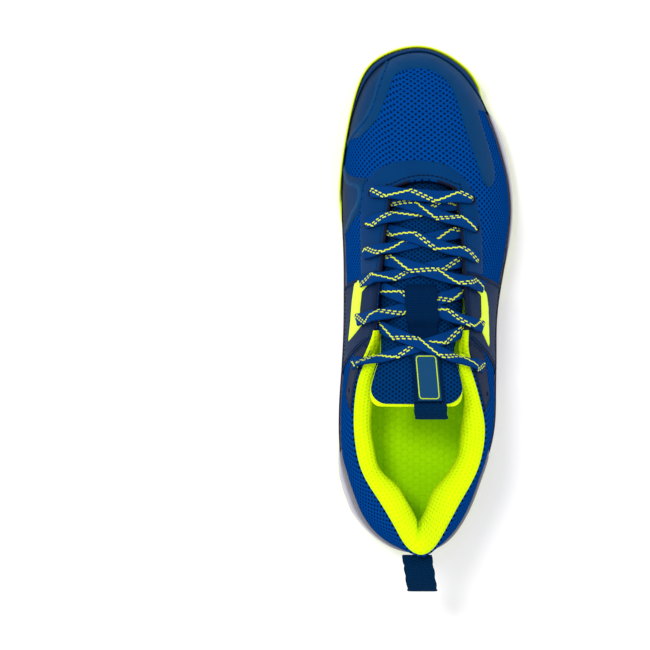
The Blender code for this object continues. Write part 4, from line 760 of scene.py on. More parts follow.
def clip_surface(inside):
    """Triangles of the fine surface cut to its positive part, as pairs of corners with a mixing share."""
    value = np.where(np.abs(inside) < 0.02, np.where(inside < 0, -0.02, 0.02), inside)
    tri = FACES
    positive = value[tri] > 0
    count = positive.sum(axis=1)
    pairs = []
    whole = tri[count == 3]
    pairs.append(np.stack([whole, whole], -1))
    one = count == 1
    lead = np.argmax(positive[one], axis=1)
    f = np.take_along_axis(tri[one], (lead[:, None] + np.arange(3)) % 3, axis=1)
    pairs.append(np.stack([np.stack([f[:, 0], f[:, 0]], -1), f[:, [0, 1]], f[:, [0, 2]]], 1))
    two = count == 2
    lead = np.argmin(positive[two], axis=1)
    f = np.take_along_axis(tri[two], (lead[:, None] + np.arange(3)) % 3, axis=1)
    b, c = np.stack([f[:, 1], f[:, 1]], -1), np.stack([f[:, 2], f[:, 2]], -1)
    ab, ca = f[:, [0, 1]], f[:, [0, 2]]
    pairs.append(np.stack([ab, b, c], 1))
    pairs.append(np.stack([ab, c, ca], 1))
    pairs = np.sort(np.concatenate(pairs), axis=-1)
    keys, index = np.unique(pairs.reshape(-1, 2), axis=0, return_inverse=True)
    faces = index.ravel().reshape(-1, 3)
    faces = faces[(faces[:, 0] != faces[:, 1]) & (faces[:, 1] != faces[:, 2]) & (faces[:, 0] != faces[:, 2])]
    low, high = keys.T
    gap = np.where(low == high, 1.0, value[low] - value[high])
    share = np.where(low == high, 0.0, value[low] / gap)
    return low, high, share, faces


def shell(name, inside, under, over, edge, rim, attributes=None, thin=False):
    """A raised sheet over the positive part of the surface, with rounded edges; offsets in millimetres."""
    low, high, share, faces = clip_surface(inside)

    def mixed(values):
        s = share if values.ndim == 1 else share[:, None]
        return values[low] * (1 - s) + values[high] * s

    base = mixed(POINTS)
    normal = mixed(NORMALS)
    normal /= np.linalg.norm(normal, axis=1)[:, None]
    into_edge = np.clip(np.maximum(mixed(inside), 0.0) / edge, 0, 1)
    over = mixed(over + np.zeros(len(POINTS)))
    under = mixed(under + np.zeros(len(POINTS)))
    lift = under + rim + (over - under - rim) * np.sqrt(np.clip(1 - (1 - into_edge) ** 2, 0, 1))
    top = base + normal * lift[:, None]
    bottom = base + normal * under[:, None]
    edges = np.concatenate([faces[:, [0, 1]], faces[:, [1, 2]], faces[:, [2, 0]]])
    _, first, counts = np.unique(np.sort(edges, axis=1), axis=0, return_index=True, return_counts=True)
    border = edges[first[counts == 1]]
    count = len(base)
    uv = np.stack([mixed(FLOW_A), mixed(FLOW_B)], -1)
    named = {key: mixed(values) for key, values in (attributes or {}).items()}
    # A thin sheet lies on the knit, so below it keeps only its border.
    below = np.unique(border) if thin else np.arange(count)
    place_of = {int(k): count + n for n, k in enumerate(below)}
    all_faces = faces.tolist()
    if not thin:
        all_faces += (faces[:, ::-1] + count).tolist()
    all_faces += [[int(b), int(a), place_of[int(a)], place_of[int(b)]] for a, b in border]
    points = np.concatenate([top, bottom[below]])
    uv = np.concatenate([uv, uv[below]])
    named = {key: np.concatenate([v, v[below]]) for key, v in named.items()}
    return make_mesh(name, points, all_faces, uv, named)


def iso_lines(value, level, allowed, least=12.0):
    """Ordered lines on the surface where the value crosses a level: arrays of points and normals."""
    inside = value - level
    tri = FACES[allowed[FACES].all(axis=1)]
    positive = inside[tri] > 0
    mixed = tri[(positive.sum(axis=1) % 3) != 0]
    links = {}
    where = {}
    for face in mixed:
        ends = []
        for a, b in ((0, 1), (1, 2), (2, 0)):
            p, q = sorted((int(face[a]), int(face[b])))
            if (inside[p] > 0) != (inside[q] > 0):
                ends.append((p, q))
                if (p, q) not in where:
                    t = inside[p] / (inside[p] - inside[q])
                    where[(p, q)] = np.concatenate(
                        [POINTS[p] * (1 - t) + POINTS[q] * t, NORMALS[p] * (1 - t) + NORMALS[q] * t]
                    )
        if len(ends) == 2:
            links.setdefault(ends[0], []).append(ends[1])
            links.setdefault(ends[1], []).append(ends[0])
    lines = []
    seen = set()
    for start in sorted(links, key=lambda k: (len(links[k]), k)):
        if start in seen:
            continue
        line = [start]
        seen.add(start)
        while True:
            step = [k for k in links[line[-1]] if k not in seen]
            if not step:
                break
            seen.add(step[0])
            line.append(step[0])
        rows = np.array([where[k] for k in line])
        if len(rows) > 3 and np.linalg.norm(np.diff(rows[:, :3], axis=0), axis=1).sum() > least:
            lines.append(rows)
    return lines


def even_line(rows, spacing, blur=2):
    """The line resampled at even spacing, lightly smoothed."""
    rows = rows.copy()
    for _ in range(blur):
        rows[1:-1] = (rows[:-2] + 2 * rows[1:-1] + rows[2:]) / 4
    run = run_length(rows[:, :3])
    at = np.linspace(0, run[-1], max(2, int(run[-1] / spacing) + 1))
    return np.stack([np.interp(at, run, rows[:, k]) for k in range(rows.shape[1])], -1)


def ring_quads(rows, sides):
    """Quads between consecutive closed rings of points."""
    first = np.arange(sides)
    after = (first + 1) % sides
    ring = np.stack([first, after, after + sides, first + sides], -1)
    return (ring + sides * np.arange(rows - 1)[:, None, None]).reshape(-1, 4).tolist()


def end_caps(rows, sides):
    """One face over the first ring and one over the last."""
    last = (rows - 1) * sides
    return [list(range(sides))[::-1], [last + k for k in range(sides)]]


def squared(angles, cos_power, sin_power):
    """Cosine and sine of a rounded rectangle's section: smaller powers are squarer."""
    c, s = np.cos(angles), np.sin(angles)
    return np.sign(c) * np.abs(c) ** cos_power, np.sign(s) * np.abs(s) ** sin_power


def swept(line, side, up, widths, depths, section):
    """The section's points carried along a line."""
    c, s = section
    return (
        line[:, None]
        + side[:, None] * (c[None, :, None] * widths[:, None, None] / 2)
        + up[:, None] * (s[None, :, None] * depths[:, None, None] / 2)
    )


def tube(points, normals, widths, depths, sides=8, close=True):
    """Points and faces of a rounded band along a path; normals give its upper face."""
    points = np.asarray(points, float)
    run = np.gradient(points, axis=0)
    run /= np.maximum(np.linalg.norm(run, axis=1), 1e-9)[:, None]
    side = np.cross(run, normals)
    side /= np.maximum(np.linalg.norm(side, axis=1), 1e-9)[:, None]
    up = np.cross(side, run)
    section = squared((np.arange(sides) + 0.5) * 2 * math.pi / sides, 0.6, 0.8)
    widths = np.full(len(points), float(widths))
    depths = np.full(len(points), float(depths))
    rings = swept(points, side, up, widths, depths, section)
    faces = ring_quads(len(points), sides)
    if close:
        faces += end_caps(len(points), sides)
    return rings.reshape(-1, 3), faces


def many(parts):
    """Several (points, faces) joined into one."""
    points = []
    faces = []
    start = 0
    for p, f in parts:
        points.append(p)
        faces += [[k + start for k in face] for face in f]
        start += len(p)
    return np.concatenate(points), faces


def stitches(name, lines, lift, pitch=2.7, length=1.9, thick=0.42):
    """Short thread lengths along surface lines, each dipping into the sheet at both ends."""
    parts = []
    for rows in lines:
        fine = even_line(rows, 0.35)
        run = np.arange(len(fine)) * 0.35
        start = 0.6
        while start + length < run[-1]:
            at = np.linspace(start, start + length, 6)
            seg = np.stack([np.interp(at, run, fine[:, k]) for k in range(6)], -1)
            normal = seg[:, 3:] / np.linalg.norm(seg[:, 3:], axis=1)[:, None]
            bow = lift + 0.16 - 0.34 * np.linspace(-1, 1, 6) ** 4
            parts.append(tube(seg[:, :3] + normal * bow[:, None], normal, thick, thick, 6))
            start += pitch
    points, faces = many(parts)
    return make_mesh(name, points, faces)


def sheet_grid(face, normal, under, over, uv):
    """A closed rounded slab over a grid of points: (points, faces, uv)."""
    rows, columns = face.shape[:2]
    top = (face + normal * over[..., None]).reshape(-1, 3)
    bottom = (face + normal * under[..., None]).reshape(-1, 3)
    count = rows * columns
    index = np.arange(count).reshape(rows, columns)
    quad = np.stack([index[:-1, :-1], index[:-1, 1:], index[1:, 1:], index[1:, :-1]], -1).reshape(-1, 4)
    rim = list(index[0]) + list(index[1:, -1]) + list(index[-1, -2::-1]) + list(index[-2:0:-1, 0])
    walls = [[b, a, a + count, b + count] for a, b in zip(rim, rim[1:] + rim[:1])]
    faces = quad.tolist() + (quad[:, ::-1] + count).tolist() + walls
    return np.concatenate([top, bottom]), faces, np.concatenate([uv.reshape(-1, 2)] * 2)


def outward(item):
    """Faces turned to look out of a closed piece."""
    work = bmesh.new()
    work.from_mesh(item.data)
    bmesh.ops.recalc_face_normals(work, faces=work.faces)
    work.to_mesh(item.data)
    work.free()
    return item


# ---------------------------------------------------------------- shader expressions
class Value:
    """A number socket in a node tree, with arithmetic."""

    def __init__(self, shade, socket):
        self.shade = shade
        self.socket = socket

    def __add__(self, other):
        return self.shade.math("ADD", self, other)

    def __radd__(self, other):
        return self.shade.math("ADD", other, self)

    def __sub__(self, other):
        return self.shade.math("SUBTRACT", self, other)

    def __rsub__(self, other):
        return self.shade.math("SUBTRACT", other, self)

    def __mul__(self, other):
        return self.shade.math("MULTIPLY", self, other)

    def __rmul__(self, other):
        return self.shade.math("MULTIPLY", other, self)

    def __truediv__(self, other):
        return self.shade.math("DIVIDE", self, other)


class Shade:
    """One material and a way to write its pattern as an expression."""

    def __init__(self, name):
        self.material = bpy.data.materials.new(name)
        self.material.use_nodes = True
        self.tree = self.material.node_tree
        self.shader = self.tree.nodes["Principled BSDF"]

    def node(self, kind, **settings):
        made = self.tree.nodes.new(kind)
        for key, value in settings.items():
            setattr(made, key, value)
        return made

    def link(self, value, socket):
        if isinstance(value, Value):
            self.tree.links.new(value.socket, socket)
        elif hasattr(value, "links"):
            self.tree.links.new(value, socket)
        elif isinstance(value, (tuple, list)) and len(value) == 3:
            socket.default_value = (*value, 1) if socket.type == "RGBA" else value
        else:
            socket.default_value = value

    def math(self, operation, a, b=0.0, c=None):
        made = self.node("ShaderNodeMath", operation=operation)
        self.link(a, made.inputs[0])
        self.link(b, made.inputs[1])
        if c is not None:
            self.link(c, made.inputs[2])
        return Value(self, made.outputs[0])

    def fract(self, a):
        return self.math("FRACT", a)

    def floor(self, a):
        return self.math("FLOOR", a)

    def sin(self, a):
        return self.math("SINE", a)

    def absolute(self, a):
        return self.math("ABSOLUTE", a)

    def most(self, a, b):
        return self.math("MAXIMUM", a, b)

    def length(self, a, b):
        return self.math("SQRT", a * a + b * b)

    def ramp(self, low, high, a):
        """0 below low, 1 above high, smooth in between."""
        made = self.node("ShaderNodeMapRange", interpolation_type="SMOOTHSTEP")
        if low < high:
            made.inputs["From Min"].default_value, made.inputs["From Max"].default_value = low, high
        else:
            made.inputs["From Min"].default_value, made.inputs["From Max"].default_value = high, low
            made.inputs["To Min"].default_value, made.inputs["To Max"].default_value = 1.0, 0.0
        self.link(a, made.inputs["Value"])
        return Value(self, made.outputs["Result"])

    def uv(self):
        made = self.node("ShaderNodeUVMap", uv_map="flow")
        parts = self.node("ShaderNodeSeparateXYZ")
        self.tree.links.new(made.outputs[0], parts.inputs[0])
        return Value(self, parts.outputs[0]), Value(self, parts.outputs[1])

    def place(self):
        """Object-space position in millimetres, as three numbers."""
        made = self.node("ShaderNodeTexCoord")
        scale = self.node("ShaderNodeVectorMath", operation="SCALE")
        scale.inputs["Scale"].default_value = 1000
        self.tree.links.new(made.outputs["Object"], scale.inputs[0])
        parts = self.node("ShaderNodeSeparateXYZ")
        self.tree.links.new(scale.outputs[0], parts.inputs[0])
        return [Value(self, parts.outputs[k]) for k in range(3)]

    def vector(self, x, y, z=0.0):
        made = self.node("ShaderNodeCombineXYZ")
        self.link(x, made.inputs[0])
        self.link(y, made.inputs[1])
        self.link(z, made.inputs[2])
        return made.outputs[0]

    def noise(self, vector, scale, detail=3.0, rough=0.5):
        made = self.node("ShaderNodeTexNoise")
        self.link(vector, made.inputs["Vector"])
        made.inputs["Scale"].default_value = scale
        made.inputs["Detail"].default_value = detail
        made.inputs["Roughness"].default_value = rough
        return Value(self, made.outputs["Fac"])

    def named(self, key):
        made = self.node("ShaderNodeAttribute", attribute_name=key)
        return Value(self, made.outputs["Fac"])

    def blend(self, share, a, b):
        made = self.node("ShaderNodeMix", data_type="RGBA")
        self.link(share, made.inputs["Factor"])
        for value, socket in ((a, made.inputs[6]), (b, made.inputs[7])):
            self.link(value, socket)
        return made.outputs[2]

    def done(self, colour, rough, height=None, depth=0.3, sheen=0.0, coat=0.0, coat_rough=0.3, specular=0.5):
        """Sets the surface; height is in millimetres times depth."""
        self.link(colour, self.shader.inputs["Base Color"])
        self.link(rough, self.shader.inputs["Roughness"])
        self.shader.inputs["Sheen Weight"].default_value = sheen
        self.shader.inputs["Sheen Roughness"].default_value = 0.45
        self.shader.inputs["Coat Weight"].default_value = coat
        self.shader.inputs["Coat Roughness"].default_value = coat_rough
        self.shader.inputs["Specular IOR Level"].default_value = specular
        if height is not None:
            bump = self.node("ShaderNodeBump")
            bump.inputs["Strength"].default_value = 1.0
            bump.inputs["Distance"].default_value = depth / 1000
            self.link(height, bump.inputs["Height"])
            self.tree.links.new(bump.outputs[0], self.shader.inputs["Normal"])
        return self.material


def linear(r, g, b):
    """Scene-linear colour from 0 to 255 values."""
    values = [c / 255 for c in (r, g, b)]
    return tuple(c / 12.92 if c <= 0.04045 else ((c + 0.055) / 1.055) ** 2.4 for c in values)


# ---------------------------------------------------------------- materials
def knit_material(name, base, light, dark, across=2.1, down=3.3, hole=0.62, fleck=0.5):
    """Warp-knit mesh: staggered small holes between plump stitches, with painted highlights on the stitch
    crests and painted shade in and around the holes.
    """
    s = Shade(name)
    a, b = s.uv()
    warp = s.noise(s.vector(a * 0.02, b * 0.02), 3.0)
    column = a / across + (warp - 0.5) * 0.25
    row = b / down + s.fract(s.floor(column) * 0.5)
    da = (s.fract(column) - 0.5) * across
    db = (s.fract(row) - 0.5) * down
    reach = s.length(da / (hole * 1.15), db / hole)
    gap = s.ramp(1.15, 0.75, reach)
    soft = s.ramp(2.6, 0.9, reach)
    lobes = s.sin((a + b * 0.55) * (2 * math.pi / 1.05))
    lobes_b = s.sin((a * 0.8 - b) * (2 * math.pi / 0.95))
    shine = s.ramp(0.5, 1.8, lobes + lobes_b) * (1 - soft)
    patch = s.noise(s.vector(a * 0.12, b * 0.12), 1.0)
    tone = s.blend(s.ramp(0.3, 0.75, patch) * 0.35, base, tuple(c * 0.8 for c in base))
    # Painted highlight on the stitch crests; fleck sets how strong it is.
    tone = s.blend(shine * fleck, tone, light)
    # Painted shade around each hole's rim, then the hole itself painted near-black as shade inside it.
    tone = s.blend(soft * 0.45, tone, tuple(c * 0.55 for c in base))
    tone = s.blend(gap, tone, dark)
    height = (1 - soft) * 0.6 + lobes * 0.12 + lobes_b * 0.12 - gap * 0.8
    return s.done(tone, 0.85, height, 0.3, specular=0.0)


def film_material(name, base, low, rough=0.5, grain=1.05, relief=0.1, coat=0.0, fade=7.0):
    """Thin moulded film with a fine embossed grain; towards the sole it takes a painted grazing sheen and
    shade.
    """
    s = Shade(name)
    a, b = s.uv()
    rise = s.named("rise")
    dots = s.sin(a * (2 * math.pi / grain)) * s.sin(b * (2 * math.pi / grain))
    cloud = s.noise(s.vector(a * 0.05, b * 0.05), 1.5, 4.0)
    fine = s.noise(s.vector(a, b), 1.4, 2.0)
    tone = s.blend(s.ramp(0.35, 0.7, cloud) * 0.35, base, tuple(c * 0.72 for c in base))
    tone = s.blend(s.ramp(0.2, 0.9, dots) * 0.22, tone, tuple(c * 1.5 for c in base))
    # Painted grazing sheen and shade on the steep faces near the sole: the colour moves to low as the rise
    # above the lip drops below fade.
    tone = s.blend(s.ramp(fade, 0.0, rise) * 0.85, tone, low)
    # Painted highlight along the guard's raised ridge.
    tone = s.blend(s.named("ridge") * 0.5, tone, linear(24, 84, 134))
    height = dots * relief + fine * 0.25
    return s.done(tone, s.ramp(0, 1, fine) * 0.12 + rough, height, 0.12, coat=coat, specular=0.03)


def moulded_material(name, base, rough=0.5, grain=0.12, coat=0.0, dirt=0.12):
    """Moulded foam or rubber: a fine skin with faint cloudy tone."""
    s = Shade(name)
    x, y, z = s.place()
    where = s.vector(x, y, z)
    fine = s.noise(where, 1.6, 3.0)
    cloud = s.noise(where, 0.06, 3.0)
    tone = s.blend(s.ramp(0.35, 0.75, cloud) * dirt, base, tuple(c * 0.6 for c in base))
    tone = s.blend(s.ramp(0.3, 0.8, fine) * 0.08, tone, tuple(c * 0.7 for c in base))
    return s.done(tone, rough, fine, grain, coat=coat)


def padded_material(name, base, shade_tone, pitch=2.5, relief=0.42, deep=60.0):
    """Padded lining knit: close rows of round dimples, with painted shade in them and further down inside."""
    s = Shade(name)
    a, b = s.uv()
    column = a / pitch
    row = b / (pitch * 0.9) + s.fract(s.floor(column) * 0.5)
    da = s.fract(column) - 0.5
    db = s.fract(row) - 0.5
    reach = s.length(da, db * 0.95)
    dimple = s.ramp(0.42, 0.05, reach)
    weave = s.sin(a * (2 * math.pi / 0.7)) * s.sin(b * (2 * math.pi / 0.6))
    cloud = s.noise(s.vector(a * 0.05, b * 0.05), 1.2, 3.0)
    # Painted shade in the dimples, with a random cloudy tone; then painted shade deepening with distance a
    # down inside the collar. shade_tone is the shaded colour.
    tone = s.blend(dimple * 0.3 + s.ramp(0.4, 0.8, cloud) * 0.15, base, shade_tone)
    tone = s.blend(s.ramp(deep * 0.3, deep, a) * 0.6, tone, shade_tone)
    height = weave * 0.1 - dimple
    return s.done(tone, 0.85, height, relief, specular=0.08)


def webbing_material(name, base, light, rib=1.5):
    """Woven webbing: chevron ribs across the band."""
    s = Shade(name)
    a, b = s.uv()
    slant = s.absolute(s.fract(a / 4.4) - 0.5) * 4.4
    ribs = s.sin((b + slant * 0.9) * (2 * math.pi / rib))
    ends = s.sin(a * (2 * math.pi / 0.85))
    fuzz = s.noise(s.vector(a, b), 2.2, 3.0)
    tone = s.blend(s.ramp(-0.2, 1.0, ribs) * 0.75, base, light)
    tone = s.blend(s.ramp(0.3, 0.75, fuzz) * 0.3, tone, tuple(c * 0.5 for c in base))
    height = ribs * 0.5 + ends * 0.22 + fuzz * 0.2
    return s.done(tone, 0.85, height, 0.5, specular=0.02)


def lace_material():
    """Flat braid with a stepped fleck that zigzags from edge to edge."""
    s = Shade("lace_braid")
    a, b = s.uv()
    step = 3.0
    dash = 0.0
    for offset, phase in ((0.45, 0.0), (-0.45, 0.5)):
        position = b / step + phase
        part = s.fract(position)
        swing = s.absolute(s.fract((s.floor(position) + part * 0.6) / 9.6) - 0.5) * 4.0 - 1.0
        across = s.absolute(a - swing * 2.5 - offset)
        one = s.ramp(0.42, 0.28, across) * s.ramp(0.0, 0.08, part) * s.ramp(0.74, 0.64, part)
        dash = s.most(dash, one)
    braid = s.sin((b + s.absolute(a) * 0.9) * (2 * math.pi / 1.15))
    cords = s.sin(a * (2 * math.pi / 0.8))
    fuzz = s.noise(s.vector(a, b), 1.8, 3.0)
    base = linear(1, 52, 116)
    tone = s.blend(s.ramp(-0.2, 1.0, braid) * 0.55, base, linear(10, 76, 148))
    tone = s.blend(s.ramp(0.4, 0.9, fuzz) * 0.4, tone, linear(0, 32, 78))
    # Painted shade on the band's rounded edges.
    edge = s.ramp(2.5, 3.4, s.absolute(a))
    tone = s.blend(edge * 0.5, tone, linear(0, 28, 70))
    fleck = s.blend(s.ramp(0.2, 0.9, braid) * 0.4, linear(226, 245, 40), linear(240, 250, 140))
    tone = s.blend(dash, tone, fleck)
    height = braid * 0.4 + cords * 0.25 + dash * 0.7 + fuzz * 0.2
    return s.done(tone, 0.85, height, 0.28, specular=0.02)


def insole_material():
    """Printed foam sheet with a faint honeycomb emboss, painted darker towards the heel as shade under the
    collar.
    """
    s = Shade("insole_textile")
    a, b = s.uv()
    column = a / 3.6
    row = b / 4.2 + s.fract(s.floor(column) * 0.5)
    reach = s.length((s.fract(column) - 0.5) * 0.92, s.fract(row) - 0.5)
    cell = s.ramp(0.52, 0.36, reach)
    weave = s.sin(a * (2 * math.pi / 0.9)) * s.sin(b * (2 * math.pi / 0.9))
    cloud = s.noise(s.vector(a * 0.03, b * 0.03), 1.0, 3.0)
    heel_shade = s.ramp(-70.0, -120.0, b)
    tone = s.blend(s.ramp(0.35, 0.7, cloud) * 0.3, linear(192, 254, 0), linear(178, 242, 0))
    tone = s.blend((1 - cell) * 0.16, tone, linear(142, 206, 0))
    # Painted shade under the collar: darker towards the heel.
    tone = s.blend(heel_shade * 0.4, tone, linear(152, 218, 0))
    return s.done(tone, 0.85, cell * 0.4 + weave * 0.08, 0.3, specular=0.05)


def midsole_material():
    """Pale foam; around the toe its lip is faced with the cap's dark film."""
    s = Shade("midsole_foam")
    x, y, z = s.place()
    where = s.vector(x, y, z)
    fine = s.noise(where, 1.6, 3.0)
    cloud = s.noise(where, 0.06, 3.0)
    tone = s.blend(s.ramp(0.35, 0.75, cloud) * 0.08, linear(196, 194, 205), linear(160, 158, 170))
    faced = s.named("wrap")
    tone = s.blend(faced, tone, linear(8, 56, 110))
    return s.done(tone, 0.6, fine, 0.12, specular=0.2)


def tread_material():
    """Gum rubber with a herringbone tread on its underside."""
    s = Shade("outsole_rubber")
    x, y, z = s.place()
    slant = s.absolute(s.fract(x / 11.0) - 0.5) * 11.0
    bars = s.sin((y + slant) * (2 * math.pi / 4.2))
    under = s.ramp(4.2, 3.0, z)
    fine = s.noise(s.vector(x, y, z), 1.2, 3.0)
    groove = s.ramp(-0.1, 0.5, bars)
    tone = s.blend(fine * 0.12, linear(222, 242, 12), linear(190, 214, 8))
    # Painted shade in the tread grooves on the underside.
    tone = s.blend((1 - groove) * under * 0.6, tone, linear(140, 160, 6))
    return s.done(tone, 0.5, groove * under + fine * 0.1, 0.9)


def plain_cloth(name, base, pitch=1.0):
    s = Shade(name)
    x, y, z = s.place()
    weave = s.sin(x * (2 * math.pi / pitch)) * s.sin((y + z) * (2 * math.pi / pitch))
    cloud = s.noise(s.vector(x, y, z), 0.08, 3.0)
    tone = s.blend(s.ramp(-0.5, 0.9, weave) * 0.35, base, tuple(c * 0.6 for c in base))
    tone = s.blend(s.ramp(0.3, 0.8, cloud) * 0.2, tone, tuple(c * 0.8 for c in base))
    return s.done(tone, 0.85, weave, 0.2, specular=0.08)


NEON = linear(222, 255, 0)
KNIT_BLUE = linear(0, 62, 138)
MATERIAL = {
    "knit": knit_material("upper_knit", KNIT_BLUE, linear(26, 100, 186), linear(0, 10, 34), hole=0.55),
    "tongue": knit_material(
        "tongue_mesh", linear(2, 50, 102), linear(14, 76, 144), linear(0, 14, 40), 2.0, 2.5, 0.46, 0.5
    ),
    # Each film's second colour is its painted grazing sheen and shade near the sole.
    "film_toe": film_material("film_toe", linear(2, 56, 102), linear(12, 26, 50), fade=6.0),
    "film_eyestay": film_material("film_eyestay", linear(0, 52, 103), linear(4, 32, 68), grain=1.3),
    "film_side": film_material("film_side", linear(28, 42, 76), linear(52, 54, 80), fade=14.0),
    "strap": film_material("strap", linear(1, 34, 72), linear(8, 26, 54), 0.5, 1.6, 0.16),
    "guard": film_material("guard", linear(1, 50, 94), linear(3, 10, 22), 0.5, 0.9, 0.05, 0.0, 17.0),
    "ankle": film_material("ankle", linear(5, 28, 60), linear(12, 28, 56), 0.5, 1.5, 0.14),
    "heel_band": moulded_material("heel_band", linear(112, 113, 118), 0.55),
    "bracket": moulded_material("bracket", NEON, 0.6, 0.08, dirt=0.04),
    "midsole": midsole_material(),
    "tread": tread_material(),
    "collar": padded_material("collar_lining", NEON, linear(172, 214, 0), deep=26.0),
    "tongue_lining": padded_material("tongue_lining", NEON, linear(180, 212, 0), 1.8, 0.25),
    "webbing": webbing_material("webbing", linear(0, 32, 64), linear(6, 60, 106)),
    "keeper": webbing_material("keeper", linear(0, 30, 68), linear(4, 54, 104), 1.3),
    "lace": lace_material(),
    "insole": insole_material(),
    "thread": plain_cloth("thread_dark", linear(4, 16, 34), 0.6),
    "thread_blue": plain_cloth("thread_blue", linear(6, 60, 116), 0.6),
    "edge": plain_cloth("edge_binding", linear(22, 32, 60), 0.8),
    "neon_thread": plain_cloth("neon_thread", NEON, 0.6),
    "label": film_material("label_field", linear(20, 66, 104), linear(20, 66, 104), 0.5, 0.8, 0.05),
    "aglet": moulded_material("aglet_film", linear(20, 56, 120), 0.25, 0.05, 0.4),
    "inner": plain_cloth("inner_cloth", linear(14, 30, 58), 1.2),
}


# ---------------------------------------------------------------- upper and its overlays
# Films and panels on the knit. Each value is a distance in millimetres, positive inside the piece.
FOLDED = np.where(ON_MEDIAL, 2 * math.pi - TURNS, TURNS)
CROWN = HEIGHTS > 1.0001
LIP_TOP = feather_height(Y) + 5.0
ABOVE_LIP = Z - LIP_TOP + 1.5
lateral_throat, medial_throat = slice_of(FOLDED)[3:]
THROAT_MIDDLE = (lateral_throat + medial_throat) / 2
THROAT_HALF = np.maximum((lateral_throat - medial_throat) / 2, 2.0)
THROAT_FRONT = 76.5
# Distance outside the throat opening, whose front end is an arc.
SIDE_REACH = np.abs(X - THROAT_MIDDLE) - THROAT_HALF
FRONT_ARC = np.minimum(((X - THROAT_MIDDLE) / THROAT_HALF) ** 2, 1.0)
FRONT_REACH = Y - (THROAT_FRONT - 5.0 * FRONT_ARC)
FROM_THROAT = np.maximum(SIDE_REACH, FRONT_REACH)

TOE_WINDOW = [
    (-18.6, 140), (-14, 142.4), (-4, 143.4), (3, 142), (8, 139), (12.4, 134.4), (16.4, 127), (19.6, 115.6),
    (23.6, 101.2), (28.4, 86.8), (29.6, 78), (20, 90), (4, 94), (-12, 92), (-22, 84), (-34, 79), (-42, 79.5),
    (-46.2, 84), (-47, 92), (-45, 98.4), (-40, 103), (-34, 107.4), (-29.4, 113), (-24.7, 124), (-21.4, 133),
]
STRIPE = [
    (22, 134), (29.5, 119), (32.2, 109.6), (35.4, 98.8), (38.8, 86.8), (39.2, 79), (36.8, 72.8), (32.4, 74),
    (28.4, 86.8), (23.6, 101.2), (19.6, 115.6), (17, 128),
]
GUARD = [
    (-21, 152), (-24, 144), (-27.7, 134.6), (-30.4, 125), (-34, 115.4), (-39, 109.4), (-44.3, 103.6),
    (-46.8, 97.6), (-47.9, 90.6), (-47.2, 84), (-44.5, 80.5), (-40, 79), (-33, 78.6), (-33, 66),
    (-40.2, 58), (-44.5, 52), (-47, 46), (-60, 46), (-60, 140), (-38, 160),
]
# The guard's raised ridge: its outline at the toe, then its own step beside the eyestay.
GUARD_RIDGE = [
    (-21, 152), (-24, 144), (-27.7, 134.6), (-30.4, 125), (-34, 115.4), (-39, 109.4), (-44.3, 103.6),
    (-46.8, 97.6), (-47.9, 90.6), (-47.2, 82.4), (-45.6, 76), (-39, 74), (-38.6, 68.4), (-40.2, 62.5),
    (-43.7, 57.8), (-47, 46), (-60, 46), (-60, 140), (-38, 160),
]
STRAP_FRONT = 23.8
STRAP_BACK = -12.0
STRAP_LEAN = 26
FOXING_HEIGHT = 11.0
FOXING_FRONT = 122.0
FOXING_BACK = 22.0
HEEL_BAND_HEIGHT = 11.5
HEEL_BAND_FRONT = -78.0
NOWHERE = -9.0


def plan(corners):
    return polygon_distance(X, Y, corners)


def rounded(corners, passes=3):
    """The closed outline with its corners cut round."""
    ring = np.array(corners, float)
    for _ in range(passes):
        ahead = np.roll(ring, -1, axis=0)
        ring = np.stack([ring * 0.75 + ahead * 0.25, ring * 0.25 + ahead * 0.75], 1).reshape(-1, 2)
    return ring


def soft_least(a, b, blend=4.0):
    """The smaller value, rounded where the two are close."""
    near = np.clip(0.5 + 0.5 * (b - a) / blend, 0, 1)
    return b * (1 - near) + a * near - blend * near * (1 - near)


knit_inside = np.where(Y > COLLAR_FRONT - 1, FROM_THROAT, 20.0)
toe_film_inside = np.minimum(-plan(rounded(TOE_WINDOW)), Y - np.where(ON_MEDIAL, 103.0, 119.0))
toe_film_inside = np.minimum(np.maximum(toe_film_inside, plan(rounded(STRIPE))), ABOVE_LIP)
toe_film_inside = np.where(Y < 70, NOWHERE, toe_film_inside)
guard_inside = np.minimum(plan(rounded(GUARD)), ABOVE_LIP)
toe_film_inside = np.minimum(toe_film_inside, -plan(rounded(GUARD)) - SEAM_GAP)
toe_film_inside = np.where(ON_MEDIAL & (Y < 100), NOWHERE, toe_film_inside)
foxing_inside = np.minimum(ABOVE_LIP, FOXING_HEIGHT - ABOVE_LIP)
foxing_inside = np.minimum(foxing_inside, np.minimum(FOXING_FRONT - Y, Y - FOXING_BACK))
foxing_inside = np.where(ON_MEDIAL, NOWHERE, foxing_inside)
foxing_inside = np.minimum(foxing_inside, -toe_film_inside - SEAM_GAP)


def strap_inside(medial):
    """Film strap from the rear eyelets down to the sole, ahead of the ankle panel."""
    side = ON_MEDIAL if medial else ~ON_MEDIAL
    lean = (1 - HEIGHTS) * STRAP_LEAN
    front = STRAP_FRONT - Y - lean * 0.35
    back = Y - STRAP_BACK + lean
    value = np.minimum(np.minimum(front, back), np.minimum(FROM_THROAT - 0.8, ABOVE_LIP))
    value = np.minimum(value, -foxing_inside - SEAM_GAP)
    return np.where(side & ~CROWN, value, NOWHERE)


